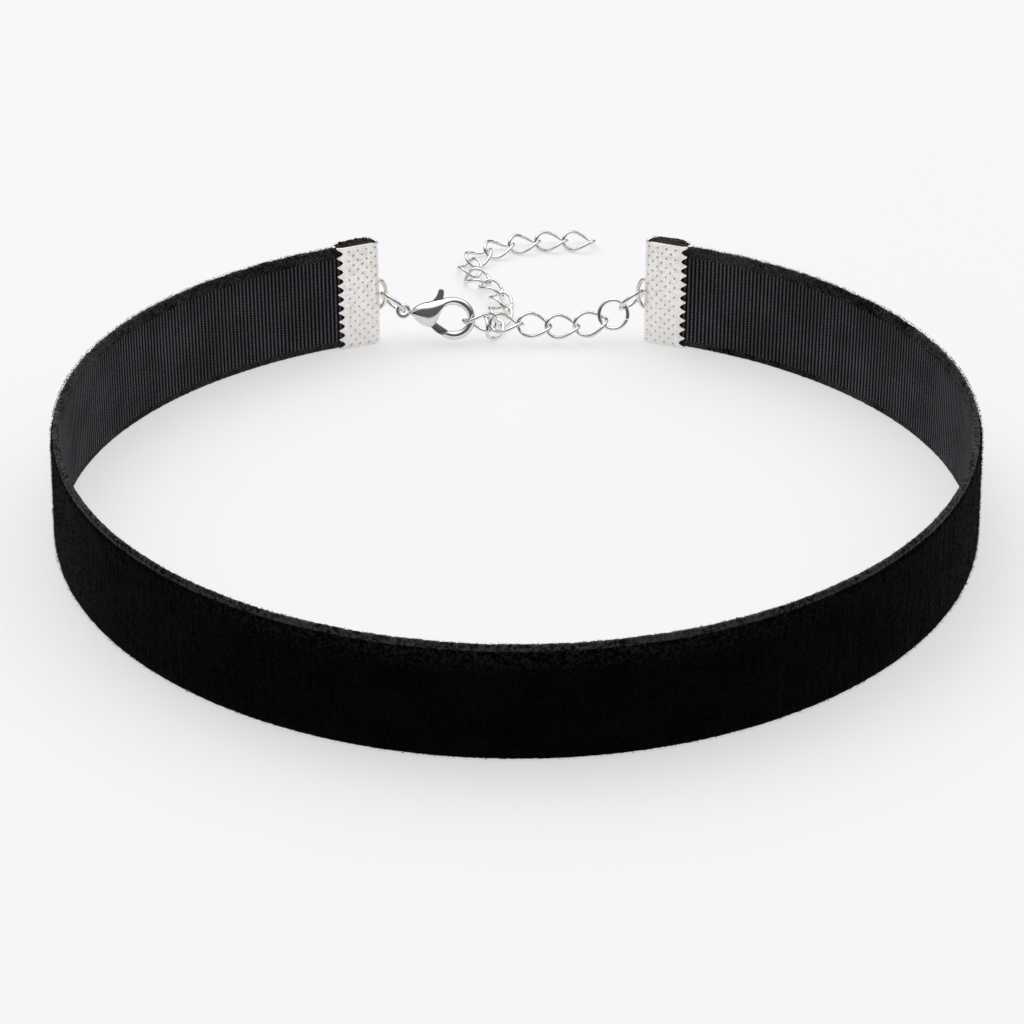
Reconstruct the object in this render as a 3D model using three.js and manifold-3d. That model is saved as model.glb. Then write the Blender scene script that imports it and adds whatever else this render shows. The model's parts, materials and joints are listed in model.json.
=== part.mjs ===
// Ribbon choker: a flat velvet ribbon loop standing on its lower edge, closed at
// the nape by a lobster clasp hooked into an extender chain. The spare end of the
// chain lies on the surface behind the closure.
//
// Millimetres, +Z up. The throat side faces -Y and the closure is on the +Y side.
// The plan is drawn about the loop's own centre, and the whole model is moved at
// the end so that the origin is under the middle of its bounding box.

import * as THREE from 'three';
import { mergeVertices } from 'three/addons/utils/BufferGeometryUtils.js';
import Module from 'manifold-3d';

const wasm = await Module();
wasm.setup();

// ---------------------------------------------------------------------------
// Driving dimensions
// ---------------------------------------------------------------------------

const ribbon = {
  height: 16.0,
  thickness: 1.0,
  foldedThickness: 1.5, // the end is turned over inside each crimp
  halfWidth: 59.7, // from the loop's centre to each side
  frontDepth: 54.7, // from the loop's centre to the throat
  backDepth: 49.4, // from the loop's centre to the nape, across the closure's gap
  leftMouthX: -25.6, // where the ribbon enters each crimp
  rightMouthX: 24.5,
  steps: 80,
};

const crimp = {
  height: 16.2,
  length: 6.4, // tooth tips to the fold
  swell: 0.5, // length behind the tooth tips over which the ribbon thickens
  plate: 0.35,
  clearance: 0.1, // between the ribbon and each plate
  notchCount: 11,
  notchPitch: 1.45,
  notchDepth: 0.8,
  notchHalfWidth: 0.58,
  loopWire: 0.6,
  loopReach: 1.4, // how far the loop stands out of the fold
  loopHalfHeight: 2.6,
  loopZ: 7.35,
};

const ring = { outer: 4.7, wire: 0.55 };

const link = {
  length: 5.3,
  width: 4.05,
  wire: 0.52,
  twist: THREE.MathUtils.degToRad(-90), // right end against left end, about the long axis
};

const clasp = {
  lean: THREE.MathUtils.degToRad(20), // top of the clasp leans away from the throat
  droop: THREE.MathUtils.degToRad(8.5), // hook end hangs lower than the eye
  plate: 1.2, // thickness of the hook
  bodyHalf: { x: 3.2, y: 1.35, z: 3.3 }, // rounded belly, as half sizes of an ellipsoid
  bodyX: 4.0,
  eyeRadius: 0.83, // to the middle of the eye's wire
  eyeWire: 0.56,
  ringX: 7.35, // centre of the hook's ring, from the eye
  ringRadius: 3.07,
  slotWidth: 1.1,
  slotFromX: 3.0,
  slotToX: 5.65,
};

const lever = {
  thickness: 0.8,
  pivotX: 4.1,
  pivotZ: 0.1,
  pinRadius: 0.3,
  holeRadius: 0.45,
  reach: 3.3, // pivot to gate tip
  tipGap: 0.12, // gate tip to the hook
};

// Middle of the clasp's eye, and the point where the two rings of the chain side touch
const eyeCentre = new THREE.Vector3(-16.15, 46.55, 4.8);
const ringToRing = new THREE.Vector3(15.28, 47.0, 5.07);

// Where each link starts: its wire touches the wire before it there. The roll turns
// the link about its own length, in degrees from lying flat. The last row is an end.
const hangingChain = [
  { x: -7.13, y: 45.98, z: 3.48, roll: -58 }, // hooked by the clasp
  { x: -3.23, y: 46.19, z: 3.15, roll: 7 },
  { x: 0.58, y: 46.21, z: 2.86, roll: 35 },
  { x: 4.7, y: 46.2, z: 2.5, roll: 30 },
  { x: 8.75, y: 46.2, z: 2.45, roll: 40 },
  { x: 12.74, y: 46.34, z: 3.32 }, // at the round ring
];
const spareChain = [
  { x: -4.03, y: 46.07, z: 1.86, roll: 45 }, // on the lower wire of the hooked link
  { x: -2.9, y: 50.03, z: 1.42, roll: 25 },
  { x: -1.86, y: 54.01, z: 1.37, roll: 23 },
  { x: -2.53, y: 58.11, z: 1.34, roll: 17 },
  { x: -4.57, y: 61.73, z: 1.33, roll: -2 },
  { x: -6.92, y: 65.2, z: 1.02, roll: 1 },
  { x: -6.9, y: 69.17, z: 0.94, roll: 3 },
  { x: -4.31, y: 72.45, z: 1.14, roll: 7 },
  { x: -0.7, y: 74.46, z: 1.1, roll: 10 },
  { x: 3.37, y: 75.5, z: 1.13, roll: 13 },
  { x: 7.53, y: 75.74, z: 1.18, roll: 12 },
  { x: 11.73, y: 75.75, z: 1.04 }, // free end
];

// ---------------------------------------------------------------------------
// Materials
// ---------------------------------------------------------------------------

const velvet = new THREE.MeshStandardMaterial({ color: 0x08080a, roughness: 0.95, metalness: 0 });
const crimpSteel = new THREE.MeshStandardMaterial({ color: 0xd9d4cf, roughness: 0.35, metalness: 1 });
const brightSteel = new THREE.MeshStandardMaterial({ color: 0xe4e2df, roughness: 0.12, metalness: 1 });

// ---------------------------------------------------------------------------
// Solid helpers
// ---------------------------------------------------------------------------

function toSolid(geometry) {
  const bare = geometry.clone();
  bare.deleteAttribute('normal');
  bare.deleteAttribute('uv');
  const merged = mergeVertices(bare, 1e-5);
  const mesh = new wasm.Mesh({
    numProp: 3,
    vertProperties: new Float32Array(merged.attributes.position.array),
    triVerts: new Uint32Array(merged.index.array),
  });
  return new wasm.Manifold(mesh);
}

function toGeometry(solid) {
  const mesh = solid.getMesh();
  const geometry = new THREE.BufferGeometry();
  geometry.setAttribute('position', new THREE.BufferAttribute(new Float32Array(mesh.vertProperties), 3));
  geometry.setIndex(new THREE.BufferAttribute(new Uint32Array(mesh.triVerts), 1));
  geometry.computeVertexNormals();
  return geometry;
}

// A shape drawn in X and Z, given thickness along Y and centred on Y = 0
function uprightPlate(shape, thickness, curveSegments) {
  const geometry = new THREE.ExtrudeGeometry(shape, {
    depth: thickness,
    curveSegments,
    bevelEnabled: false,
  });
  geometry.translate(0, 0, -thickness / 2);
  geometry.rotateX(Math.PI / 2);
  return geometry;
}

// ---------------------------------------------------------------------------
// Ribbon
// ---------------------------------------------------------------------------

// Middle line of the ribbon in plan. The angle runs anticlockwise from +X.
function loopPoint(angle) {
  const depth = Math.sin(angle) > 0 ? ribbon.backDepth : ribbon.frontDepth;
  return new THREE.Vector2(ribbon.halfWidth * Math.cos(angle), depth * Math.sin(angle));
}

function loopTangent(angle) {
  const depth = Math.sin(angle) > 0 ? ribbon.backDepth : ribbon.frontDepth;
  return new THREE.Vector2(-ribbon.halfWidth * Math.sin(angle), depth * Math.cos(angle)).normalize();
}

const rightMouthAngle = Math.acos(ribbon.rightMouthX / ribbon.halfWidth);
const leftMouthAngle = Math.acos(ribbon.leftMouthX / ribbon.halfWidth);

// Stations along the ribbon from the right end, round the front, to the left end.
// Each end runs straight inside its crimp, where it is turned over and so thicker.
function ribbonStations() {
  const inset = crimp.length - crimpHalfThickness();
  const sweep = rightMouthAngle - leftMouthAngle + 2 * Math.PI;
  const stations = [];
  for (let i = 0; i <= ribbon.steps; i += 1) {
    const angle = rightMouthAngle - (sweep * i) / ribbon.steps;
    const half = ribbon.thickness / 2;
    stations.push({ point: loopPoint(angle), tangent: loopTangent(angle), half });
  }
  const turnedOver = (mouth, direction) => [crimp.swell, inset].map((along) => ({
    point: mouth.point.clone().addScaledVector(mouth.tangent, direction * along),
    tangent: mouth.tangent,
    half: ribbon.foldedThickness / 2,
  }));
  return [
    ...turnedOver(stations[0], 1).reverse(),
    ...stations,
    ...turnedOver(stations[ribbon.steps], -1),
  ];
}

function ribbonGeometry() {
  const edge = (side) => ribbonStations().map(({ point, tangent, half }) => (
    new THREE.Vector2(point.x + side * half * tangent.y, point.y - side * half * tangent.x)
  ));
  const outline = new THREE.Shape([...edge(1), ...edge(-1).reverse()]);
  return new THREE.ExtrudeGeometry(outline, { depth: ribbon.height, bevelEnabled: false });
}

// ---------------------------------------------------------------------------
// Crimp ends: a plate folded over the ribbon, toothed, with its loop
// ---------------------------------------------------------------------------

function crimpHalfThickness() {
  return ribbon.foldedThickness / 2 + crimp.clearance + crimp.plate;
}

function foldedPlate() {
  const outer = crimpHalfThickness();
  const inner = outer - crimp.plate;
  const foldX = crimp.length - outer;
  const hairpin = new THREE.Shape();
  hairpin.moveTo(0, -outer);
  hairpin.absarc(foldX, 0, outer, -Math.PI / 2, Math.PI / 2, false);
  hairpin.lineTo(0, outer);
  hairpin.lineTo(0, inner);
  hairpin.absarc(foldX, 0, inner, Math.PI / 2, -Math.PI / 2, true);
  hairpin.lineTo(0, -inner);
  return new THREE.ExtrudeGeometry(hairpin, {
    depth: crimp.height,
    curveSegments: 5,
    bevelEnabled: false,
  });
}

function notchCutter(z) {
  const notch = new THREE.Shape([
    new THREE.Vector2(-0.2, z - crimp.notchHalfWidth),
    new THREE.Vector2(0, z - crimp.notchHalfWidth),
    new THREE.Vector2(crimp.notchDepth, z),
    new THREE.Vector2(0, z + crimp.notchHalfWidth),
    new THREE.Vector2(-0.2, z + crimp.notchHalfWidth),
  ]);
  return toSolid(uprightPlate(notch, 4 * crimpHalfThickness(), 1));
}

class LoopPath extends THREE.Curve {
  getPoint(t, target = new THREE.Vector3()) {
    const root = crimp.length - crimp.plate * 0.6;
    const reach = crimp.length + crimp.loopReach - crimp.loopWire / 2 - root;
    const halfHeight = crimp.loopHalfHeight - crimp.loopWire / 2;
    const angle = Math.PI * (t - 0.5);
    return target.set(root + reach * Math.cos(angle), 0, crimp.loopZ + halfHeight * Math.sin(angle));
  }
}

function wireLoop() {
  const section = new THREE.Shape();
  section.absarc(0, 0, crimp.loopWire / 2, 0, 2 * Math.PI);
  return new THREE.ExtrudeGeometry(section, {
    extrudePath: new LoopPath(),
    steps: 12,
    curveSegments: 4,
    bevelEnabled: false,
  });
}

function crimpGeometry() {
  let solid = toSolid(foldedPlate());
  const firstNotchZ = (crimp.height - crimp.notchPitch * (crimp.notchCount - 1)) / 2;
  for (let i = 0; i < crimp.notchCount; i += 1) {
    solid = solid.subtract(notchCutter(firstNotchZ + i * crimp.notchPitch));
  }
  return toGeometry(solid.add(toSolid(wireLoop())));
}

// ---------------------------------------------------------------------------
// Rings and links
// ---------------------------------------------------------------------------

function ringGeometry() {
  return new THREE.TorusGeometry((ring.outer - ring.wire) / 2, ring.wire / 2, 7, 20);
}

// An oval of wire along X, its two ends turned against each other about X
function linkGeometry() {
  const radius = link.wire / 2;
  const halfLength = link.length / 2 - radius;
  const halfWidth = link.width / 2 - radius;
  const geometry = new THREE.TorusGeometry(1, radius, 6, 18);
  const position = geometry.attributes.position;
  for (let i = 0; i < position.count; i += 1) {
    const angle = Math.atan2(position.getY(i), position.getX(i));
    const outward = Math.hypot(position.getX(i), position.getY(i)) - 1;
    const normal = new THREE.Vector2(halfWidth * Math.cos(angle), halfLength * Math.sin(angle)).normalize();
    const x = halfLength * Math.cos(angle) + outward * normal.x;
    const y = halfWidth * Math.sin(angle) + outward * normal.y;
    const z = position.getZ(i);
    const turn = (link.twist * Math.cos(angle)) / 2;
    position.setXYZ(i, x, y * Math.cos(turn) - z * Math.sin(turn), y * Math.sin(turn) + z * Math.cos(turn));
  }
  geometry.computeVertexNormals();
  return geometry;
}

// Turns that put a piece's X along a direction and its Y level, then roll it
function alongDirection(direction, roll) {
  const x = direction.clone().normalize();
  const up = new THREE.Vector3(0, 0, 1);
  const y = up.clone().cross(x).normalize();
  const z = x.clone().cross(y);
  const frame = new THREE.Matrix4().makeBasis(x, y, z);
  const turn = new THREE.Matrix4().makeRotationX(roll);
  return new THREE.Quaternion().setFromRotationMatrix(frame.multiply(turn));
}

function placeBetween(mesh, from, to, rollDegrees) {
  mesh.position.copy(from).add(to).multiplyScalar(0.5);
  mesh.quaternion.copy(alongDirection(to.clone().sub(from), THREE.MathUtils.degToRad(rollDegrees)));
  return mesh;
}

// ---------------------------------------------------------------------------
// Lobster clasp, drawn in X and Z about the middle of its eye
// ---------------------------------------------------------------------------

function claspOutline() {
  const hookTip = THREE.MathUtils.degToRad(-105);
  const outline = new THREE.Shape();
  outline.moveTo(0.9, 0.4);
  outline.bezierCurveTo(2.6, 1.6, 4.6, 2.75, clasp.ringX, clasp.ringRadius);
  outline.absarc(clasp.ringX, 0, clasp.ringRadius, Math.PI / 2, hookTip, true);
  outline.absellipse(clasp.ringX - 0.15, 0.05, 2.1, 1.87, hookTip, Math.PI * 0.92, false);
  outline.quadraticCurveTo(5.15, -0.3, 4.95, -1.0);
  outline.lineTo(4.3, -1.86);
  outline.bezierCurveTo(3.0, -1.8, 1.9, -1.1, 0.9, -0.4);
  return outline;
}

function roundedBelly() {
  const belly = new THREE.SphereGeometry(1, 20, 12);
  belly.scale(clasp.bodyHalf.x, clasp.bodyHalf.y, clasp.bodyHalf.z);
  belly.translate(clasp.bodyX, 0, 0);
  const fullWidth = toSolid(uprightPlate(claspOutline(), 2 * clasp.bodyHalf.y, 8));
  return fullWidth.intersect(toSolid(belly));
}

// The room that the gate's tip needs as it swings into the hook
function gateSweep() {
  const outer = lever.reach + lever.tipGap;
  const sweep = new THREE.Shape();
  sweep.absarc(lever.pivotX, lever.pivotZ, outer, -1.4, 0, false);
  sweep.absarc(lever.pivotX, lever.pivotZ, outer - 1.1, 0, -1.4, true);
  return toSolid(uprightPlate(sweep, 3, 12));
}

function leverSlot() {
  const slot = new THREE.BoxGeometry(clasp.slotToX - clasp.slotFromX, clasp.slotWidth, 7);
  slot.translate((clasp.slotFromX + clasp.slotToX) / 2, 0, 0);
  return toSolid(slot);
}

function claspBodyGeometry() {
  const eye = new THREE.TorusGeometry(clasp.eyeRadius, clasp.eyeWire / 2, 8, 18);
  eye.rotateX(Math.PI / 2);
  const pin = new THREE.CylinderGeometry(lever.pinRadius, lever.pinRadius, clasp.slotWidth + 0.8, 12);
  pin.translate(lever.pivotX, 0, lever.pivotZ);
  const hook = toSolid(uprightPlate(claspOutline(), clasp.plate, 8));
  const body = roundedBelly().add(hook).subtract(gateSweep()).subtract(leverSlot());
  return toGeometry(body.add(toSolid(eye)).add(toSolid(pin)));
}

function leverGeometry() {
  const outline = new THREE.Shape();
  outline.moveTo(3.45, -0.35);
  outline.quadraticCurveTo(3.3, 1.2, 3.87, 2.1);
  outline.quadraticCurveTo(4.5, 2.8, 4.57, 3.9); // back of the thumb tab
  outline.lineTo(5.3, 3.9);
  outline.quadraticCurveTo(5.5, 3.3, 5.35, 2.5); // front of the thumb tab
  outline.quadraticCurveTo(4.9, 1.0, 4.9, -0.9);
  outline.quadraticCurveTo(5.6, -1.28, 6.78, -1.82); // inner side of the gate
  outline.absarc(lever.pivotX, lever.pivotZ, lever.reach, -0.62, -0.95, true);
  outline.quadraticCurveTo(5.1, -2.42, 4.35, -1.75); // outer side of the gate
  outline.quadraticCurveTo(3.6, -1.3, 3.45, -0.35);
  const hole = new THREE.Path();
  hole.absarc(lever.pivotX, lever.pivotZ, lever.holeRadius, 0, 2 * Math.PI);
  outline.holes.push(hole);
  return uprightPlate(outline, lever.thickness, 6);
}

// ---------------------------------------------------------------------------
// Assembly
// ---------------------------------------------------------------------------

function named(name, geometry, material) {
  const mesh = new THREE.Mesh(geometry, material);
  mesh.name = name;
  return mesh;
}

// A crimp sits on the ribbon's mouth and points the way the ribbon was going
function placedCrimp(name, angle, direction) {
  const mesh = named(name, crimpGeometry(), crimpSteel);
  const mouth = loopPoint(angle);
  const heading = loopTangent(angle).multiplyScalar(direction);
  mesh.position.set(mouth.x, mouth.y, 0);
  mesh.rotation.z = Math.atan2(heading.y, heading.x);
  return mesh;
}

// Middle of the room inside a crimp's loop, where a ring's wire passes
function loopEye(angle, direction, along) {
  const heading = loopTangent(angle).multiplyScalar(direction);
  const point = loopPoint(angle).addScaledVector(heading, crimp.length + along);
  return new THREE.Vector3(point.x, point.y, crimp.loopZ);
}

function claspGroup() {
  const group = new THREE.Group();
  group.add(named('clasp_body', claspBodyGeometry(), brightSteel));
  group.add(named('clasp_lever', leverGeometry(), brightSteel));
  group.position.copy(eyeCentre);
  group.rotation.set(-clasp.lean, clasp.droop, 0);
  return group;
}

function contactPoint({ x, y, z }) {
  return new THREE.Vector3(x, y, z);
}

function ringsGroup() {
  const group = new THREE.Group();
  const room = crimp.loopReach - crimp.loopWire;
  const leftEye = loopEye(leftMouthAngle, -1, room / 2);
  const rightEye = loopEye(rightMouthAngle, 1, room - ring.wire / 2);
  const chainEnd = contactPoint(hangingChain[hangingChain.length - 1]);
  group.add(placeBetween(named('clasp_jump_ring', ringGeometry(), brightSteel), leftEye, eyeCentre, -40));
  group.add(placeBetween(named('chain_round_ring', ringGeometry(), brightSteel), chainEnd, ringToRing, 50));
  group.add(placeBetween(named('chain_jump_ring', ringGeometry(), brightSteel), ringToRing, rightEye, -42));
  return group;
}

function chainGroup() {
  const group = new THREE.Group();
  [hangingChain, spareChain].forEach((contacts) => {
    contacts.slice(0, -1).forEach((contact, i) => {
      const number = String(group.children.length + 1).padStart(2, '0');
      const mesh = named(`link_${number}`, linkGeometry(), brightSteel);
      group.add(placeBetween(mesh, contactPoint(contact), contactPoint(contacts[i + 1]), contact.roll));
    });
  });
  return group;
}

const choker = new THREE.Group();
choker.add(named('velvet_ribbon', ribbonGeometry(), velvet));
choker.add(placedCrimp('left_crimp_end', leftMouthAngle, -1));
choker.add(placedCrimp('right_crimp_end', rightMouthAngle, 1));
choker.add(claspGroup());
choker.add(ringsGroup());
choker.add(chainGroup());

const bounds = new THREE.Box3().setFromObject(choker, true);
const middle = bounds.getCenter(new THREE.Vector3());
choker.position.set(-middle.x, -middle.y, -bounds.min.z);

export default choker;
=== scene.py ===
"""Looks of a velvet ribbon choker with crimp ends, a lobster clasp and an extender chain.

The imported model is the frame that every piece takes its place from. Lengths are in metres.
"""

import json
import logging
import math
from dataclasses import dataclass, field
from enum import Enum
from typing import Iterable, Sequence

import bmesh
import bpy
import numpy as np
from mathutils import Matrix, Vector

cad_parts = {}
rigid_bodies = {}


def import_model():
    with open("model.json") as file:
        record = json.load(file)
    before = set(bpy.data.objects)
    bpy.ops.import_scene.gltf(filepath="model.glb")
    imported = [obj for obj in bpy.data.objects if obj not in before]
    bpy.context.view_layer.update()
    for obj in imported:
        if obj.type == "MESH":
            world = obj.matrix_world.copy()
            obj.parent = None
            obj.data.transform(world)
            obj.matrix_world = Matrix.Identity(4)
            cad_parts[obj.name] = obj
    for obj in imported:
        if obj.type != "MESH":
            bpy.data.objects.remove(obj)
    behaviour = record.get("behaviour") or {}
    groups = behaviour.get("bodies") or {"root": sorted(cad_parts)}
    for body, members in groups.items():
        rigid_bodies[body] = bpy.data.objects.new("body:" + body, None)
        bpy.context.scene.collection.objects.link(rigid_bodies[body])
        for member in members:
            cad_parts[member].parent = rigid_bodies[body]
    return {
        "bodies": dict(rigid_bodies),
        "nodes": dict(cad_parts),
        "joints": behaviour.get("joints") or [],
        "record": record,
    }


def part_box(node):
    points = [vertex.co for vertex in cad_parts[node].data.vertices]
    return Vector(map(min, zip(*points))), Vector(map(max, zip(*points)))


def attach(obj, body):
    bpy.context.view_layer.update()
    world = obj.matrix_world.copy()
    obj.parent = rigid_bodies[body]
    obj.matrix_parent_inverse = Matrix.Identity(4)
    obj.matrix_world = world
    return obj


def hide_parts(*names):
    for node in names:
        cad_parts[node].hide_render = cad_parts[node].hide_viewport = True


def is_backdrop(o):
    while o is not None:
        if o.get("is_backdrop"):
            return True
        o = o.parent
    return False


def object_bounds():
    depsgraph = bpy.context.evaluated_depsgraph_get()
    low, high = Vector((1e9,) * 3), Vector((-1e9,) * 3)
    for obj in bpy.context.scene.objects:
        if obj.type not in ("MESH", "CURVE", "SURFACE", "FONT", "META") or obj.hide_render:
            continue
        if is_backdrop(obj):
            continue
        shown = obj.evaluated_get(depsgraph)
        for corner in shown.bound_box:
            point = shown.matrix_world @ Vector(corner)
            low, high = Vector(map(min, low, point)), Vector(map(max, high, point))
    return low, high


MM = 0.001
CHOKER_BODY = "choker"
LEVER_BODY = "lever"

log = logging.getLogger("choker")


# ---------------------------------------------------------------------------
# Mesh helpers
# ---------------------------------------------------------------------------


def grid_quads(rows: int, columns: int, wrap: bool = False) -> np.ndarray:
    """Corner numbers of a grid of four-sided faces.

    Args:
        rows: number of rows of points.
        columns: number of points in a row.
        wrap: whether each row closes on itself.

    Returns:
        One row of four point numbers for each face.
    """
    row = np.arange(rows - 1)
    column = np.arange(columns if wrap else columns - 1)
    r, c = np.meshgrid(row, column, indexing="ij")
    following = (c + 1) % columns
    corners = (r * columns + c, (r + 1) * columns + c, (r + 1) * columns + following, r * columns + following)
    return np.stack(corners, axis=-1).reshape(-1, 4)


def make_object(
    name: str, points: np.ndarray, faces: list, materials: Sequence[bpy.types.Material]
) -> bpy.types.Object:
    """A smooth mesh object in the scene, with its faces turned outwards.

    Args:
        name: the piece's name.
        points: one row for each point, in metres.
        faces: lists of point numbers.
        materials: the piece's finishes.

    Returns:
        The new object.
    """
    mesh = bpy.data.meshes.new(name)
    mesh.from_pydata(points.tolist(), [], faces)
    for material in materials:
        mesh.materials.append(material)
    face_outwards(mesh)
    mesh.shade_smooth()
    piece = bpy.data.objects.new(name, mesh)
    bpy.context.scene.collection.objects.link(piece)
    return piece


def face_outwards(mesh: bpy.types.Mesh) -> None:
    """Turns the faces of a closed mesh outwards.

    Args:
        mesh: the mesh, which is changed.
    """
    work = bmesh.new()
    work.from_mesh(mesh)
    bmesh.ops.recalc_face_normals(work, faces=work.faces)
    work.to_mesh(mesh)
    work.free()


def apply_modifiers(piece: bpy.types.Object) -> None:
    """Replaces a piece's mesh by what its modifiers make of it.

    Args:
        piece: the mesh object, which loses its modifiers.
    """
    bpy.context.view_layer.update()
    evaluated = piece.evaluated_get(bpy.context.evaluated_depsgraph_get())
    piece.data = bpy.data.meshes.new_from_object(evaluated)
    piece.modifiers.clear()


def round_edges(piece: bpy.types.Object, width: float, segments: int, above: float) -> None:
    """Rounds the edges of a piece.

    Args:
        piece: the mesh object.
        width: the rounding's width.
        segments: number of strips in each rounding.
        above: edges that turn by more than this many degrees are rounded.
    """
    rounding = piece.modifiers.new("edges", "BEVEL")
    rounding.width = width
    rounding.segments = segments
    rounding.limit_method = "ANGLE"
    rounding.angle_limit = math.radians(above)
    apply_modifiers(piece)


def join_pieces(name: str, pieces: Sequence[bpy.types.Object]) -> bpy.types.Object:
    """Joins mesh objects that share their materials into one.

    Args:
        name: name of the joined piece.
        pieces: the objects, whose first one gives its materials.

    Returns:
        The joined object. The others are removed.
    """
    work = bmesh.new()
    for piece in pieces:
        copy = piece.data.copy()
        copy.transform(piece.matrix_world)
        work.from_mesh(copy)
        bpy.data.meshes.remove(copy)
    mesh = bpy.data.meshes.new(name)
    for material in pieces[0].data.materials:
        mesh.materials.append(material)
    work.to_mesh(mesh)
    work.free()
    for piece in pieces:
        bpy.data.objects.remove(piece)
    joined = bpy.data.objects.new(name, mesh)
    bpy.context.scene.collection.objects.link(joined)
    return joined


def bezier(corners: Sequence[Sequence[float]], count: int) -> np.ndarray:
    """Points of a Bezier curve of any degree, without its last one.

    Args:
        corners: control points.
        count: number of points.

    Returns:
        One row for each point.
    """
    t = np.linspace(0, 1, count, endpoint=False)[:, None]
    levels = [np.tile(np.asarray(c, float), (count, 1)) for c in corners]
    while len(levels) > 1:
        levels = [a * (1 - t) + b * t for a, b in zip(levels, levels[1:])]
    return levels[0]


def arc(centre: Sequence[float], radius: float, start: float, end: float, count: int) -> np.ndarray:
    """Points of a circular arc in a plane, both ends among them."""
    angle = np.linspace(start, end, count)
    return np.stack([centre[0] + radius * np.cos(angle), centre[1] + radius * np.sin(angle)], axis=1)


def smooth_rows(rows: np.ndarray, count: int) -> np.ndarray:
    """Fills in between table rows with a curve through all of them.

    Args:
        rows: one table row for each named section.
        count: number of rows wanted.

    Returns:
        The finer table, whose first and last rows are the given ones.
    """
    padded = np.vstack([2 * rows[0] - rows[1], rows, 2 * rows[-1] - rows[-2]])
    place = np.linspace(0, len(rows) - 1 - 1e-9, count)
    i = place.astype(int)
    t = (place - i)[:, None]
    p0, p1, p2, p3 = padded[i], padded[i + 1], padded[i + 2], padded[i + 3]
    straight = 2 * p1 + (p2 - p0) * t
    square = (2 * p0 - 5 * p1 + 4 * p2 - p3) * t**2
    cube = (3 * p1 - p0 - 3 * p2 + p3) * t**3
    return 0.5 * (straight + square + cube)


def smoothstep(value: np.ndarray) -> np.ndarray:
    """Goes smoothly from 0 to 1 as the value does, and stays there outside."""
    v = np.clip(value, 0, 1)
    return v * v * (3 - 2 * v)


def swept_wire(
    path: np.ndarray, radius: float, sides: int, rounding: float = 0.25
) -> tuple[np.ndarray, list]:
    """A round wire along an open path, with slightly rounded ends.

    Args:
        path: points along the middle of the wire.
        radius: the wire's radius.
        sides: number of points round the wire.
        rounding: how far the ends are rounded, as a share of the radius.

    Returns:
        Points and faces of the closed mesh.
    """
    tangent = np.gradient(path, axis=0)
    tangent /= np.linalg.norm(tangent, axis=1)[:, None]
    side = np.zeros_like(path)
    start = np.cross(tangent[0], [0.0, 0.0, 1.0])
    if np.linalg.norm(start) < 0.1:
        start = np.cross(tangent[0], [0.0, 1.0, 0.0])
    side[0] = start / np.linalg.norm(start)
    for i in range(1, len(path)):
        moved = side[i - 1] - tangent[i] * np.dot(side[i - 1], tangent[i])
        side[i] = moved / np.linalg.norm(moved)
    up = np.cross(tangent, side)
    inset = rounding * radius
    near_start, near_end = path[0] + tangent[0] * inset, path[-1] - tangent[-1] * inset
    spine = np.vstack([path[0], near_start, path[1:-1], near_end, path[-1]])
    sizes = np.full(len(spine), radius)
    sizes[[0, -1]] = radius * (1 - rounding)
    side = np.vstack([side[0], side, side[-1]])
    up = np.vstack([up[0], up, up[-1]])
    angle = np.arange(sides) * 2 * math.pi / sides
    ring = side[:, None] * np.cos(angle)[None, :, None] + up[:, None] * np.sin(angle)[None, :, None]
    points = (spine[:, None] + ring * sizes[:, None, None]).reshape(-1, 3)
    faces = grid_quads(len(spine), sides, wrap=True).tolist()
    last = (len(spine) - 1) * sides
    faces.append(list(range(sides)))
    faces.append([last + i for i in range(sides)])
    return points, faces


def plain_list(corners: Iterable[Vector]) -> list[list[float]]:
    """A box's corners as plain numbers."""
    return [[float(value) for value in corner] for corner in corners]


# ---------------------------------------------------------------------------
# Shader helpers
# ---------------------------------------------------------------------------


class Graph:
    """Adds nodes to one node tree and links them."""

    def __init__(self, tree: bpy.types.NodeTree) -> None:
        """Works on the given tree."""
        self.tree = tree

    def node(self, kind: str, inputs: dict | None = None, **settings: object) -> bpy.types.Node:
        """Adds a node.

        Args:
            kind: the node's type name.
            inputs: values or sockets for its inputs, by name or number.
            **settings: the node's own properties.

        Returns:
            The new node.
        """
        made = self.tree.nodes.new(kind)
        for key, value in settings.items():
            setattr(made, key, value)
        for key, value in (inputs or {}).items():
            if isinstance(value, bpy.types.NodeSocket):
                self.tree.links.new(value, made.inputs[key])
            else:
                made.inputs[key].default_value = value
        return made

    def math(self, operation: str, *values: object) -> bpy.types.NodeSocket:
        """A Math node's result."""
        return self.node("ShaderNodeMath", dict(enumerate(values)), operation=operation).outputs[0]

    def limited(self, value: object, low: float, high: float, least: float = 0.0) -> bpy.types.NodeSocket:
        """A value that grows from the least to 1 as the given one goes from low to high."""
        return self.node("ShaderNodeMapRange", {0: value, 1: low, 2: high, 3: least}).outputs[0]

    def mix(self, factor: object, first: object, second: object) -> bpy.types.NodeSocket:
        """A mixed colour. Sockets 6 and 7 are a Mix node's two colours, and output 2 its colour."""
        inputs = {0: factor, 6: first, 7: second}
        return self.node("ShaderNodeMix", inputs, data_type="RGBA").outputs[2]

    def noise(self, vector: object, scale: float, detail: float = 2.0) -> bpy.types.NodeSocket:
        """A Noise texture's value."""
        inputs = {"Vector": vector, "Scale": scale, "Detail": detail}
        return self.node("ShaderNodeTexNoise", inputs).outputs[0]


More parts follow.
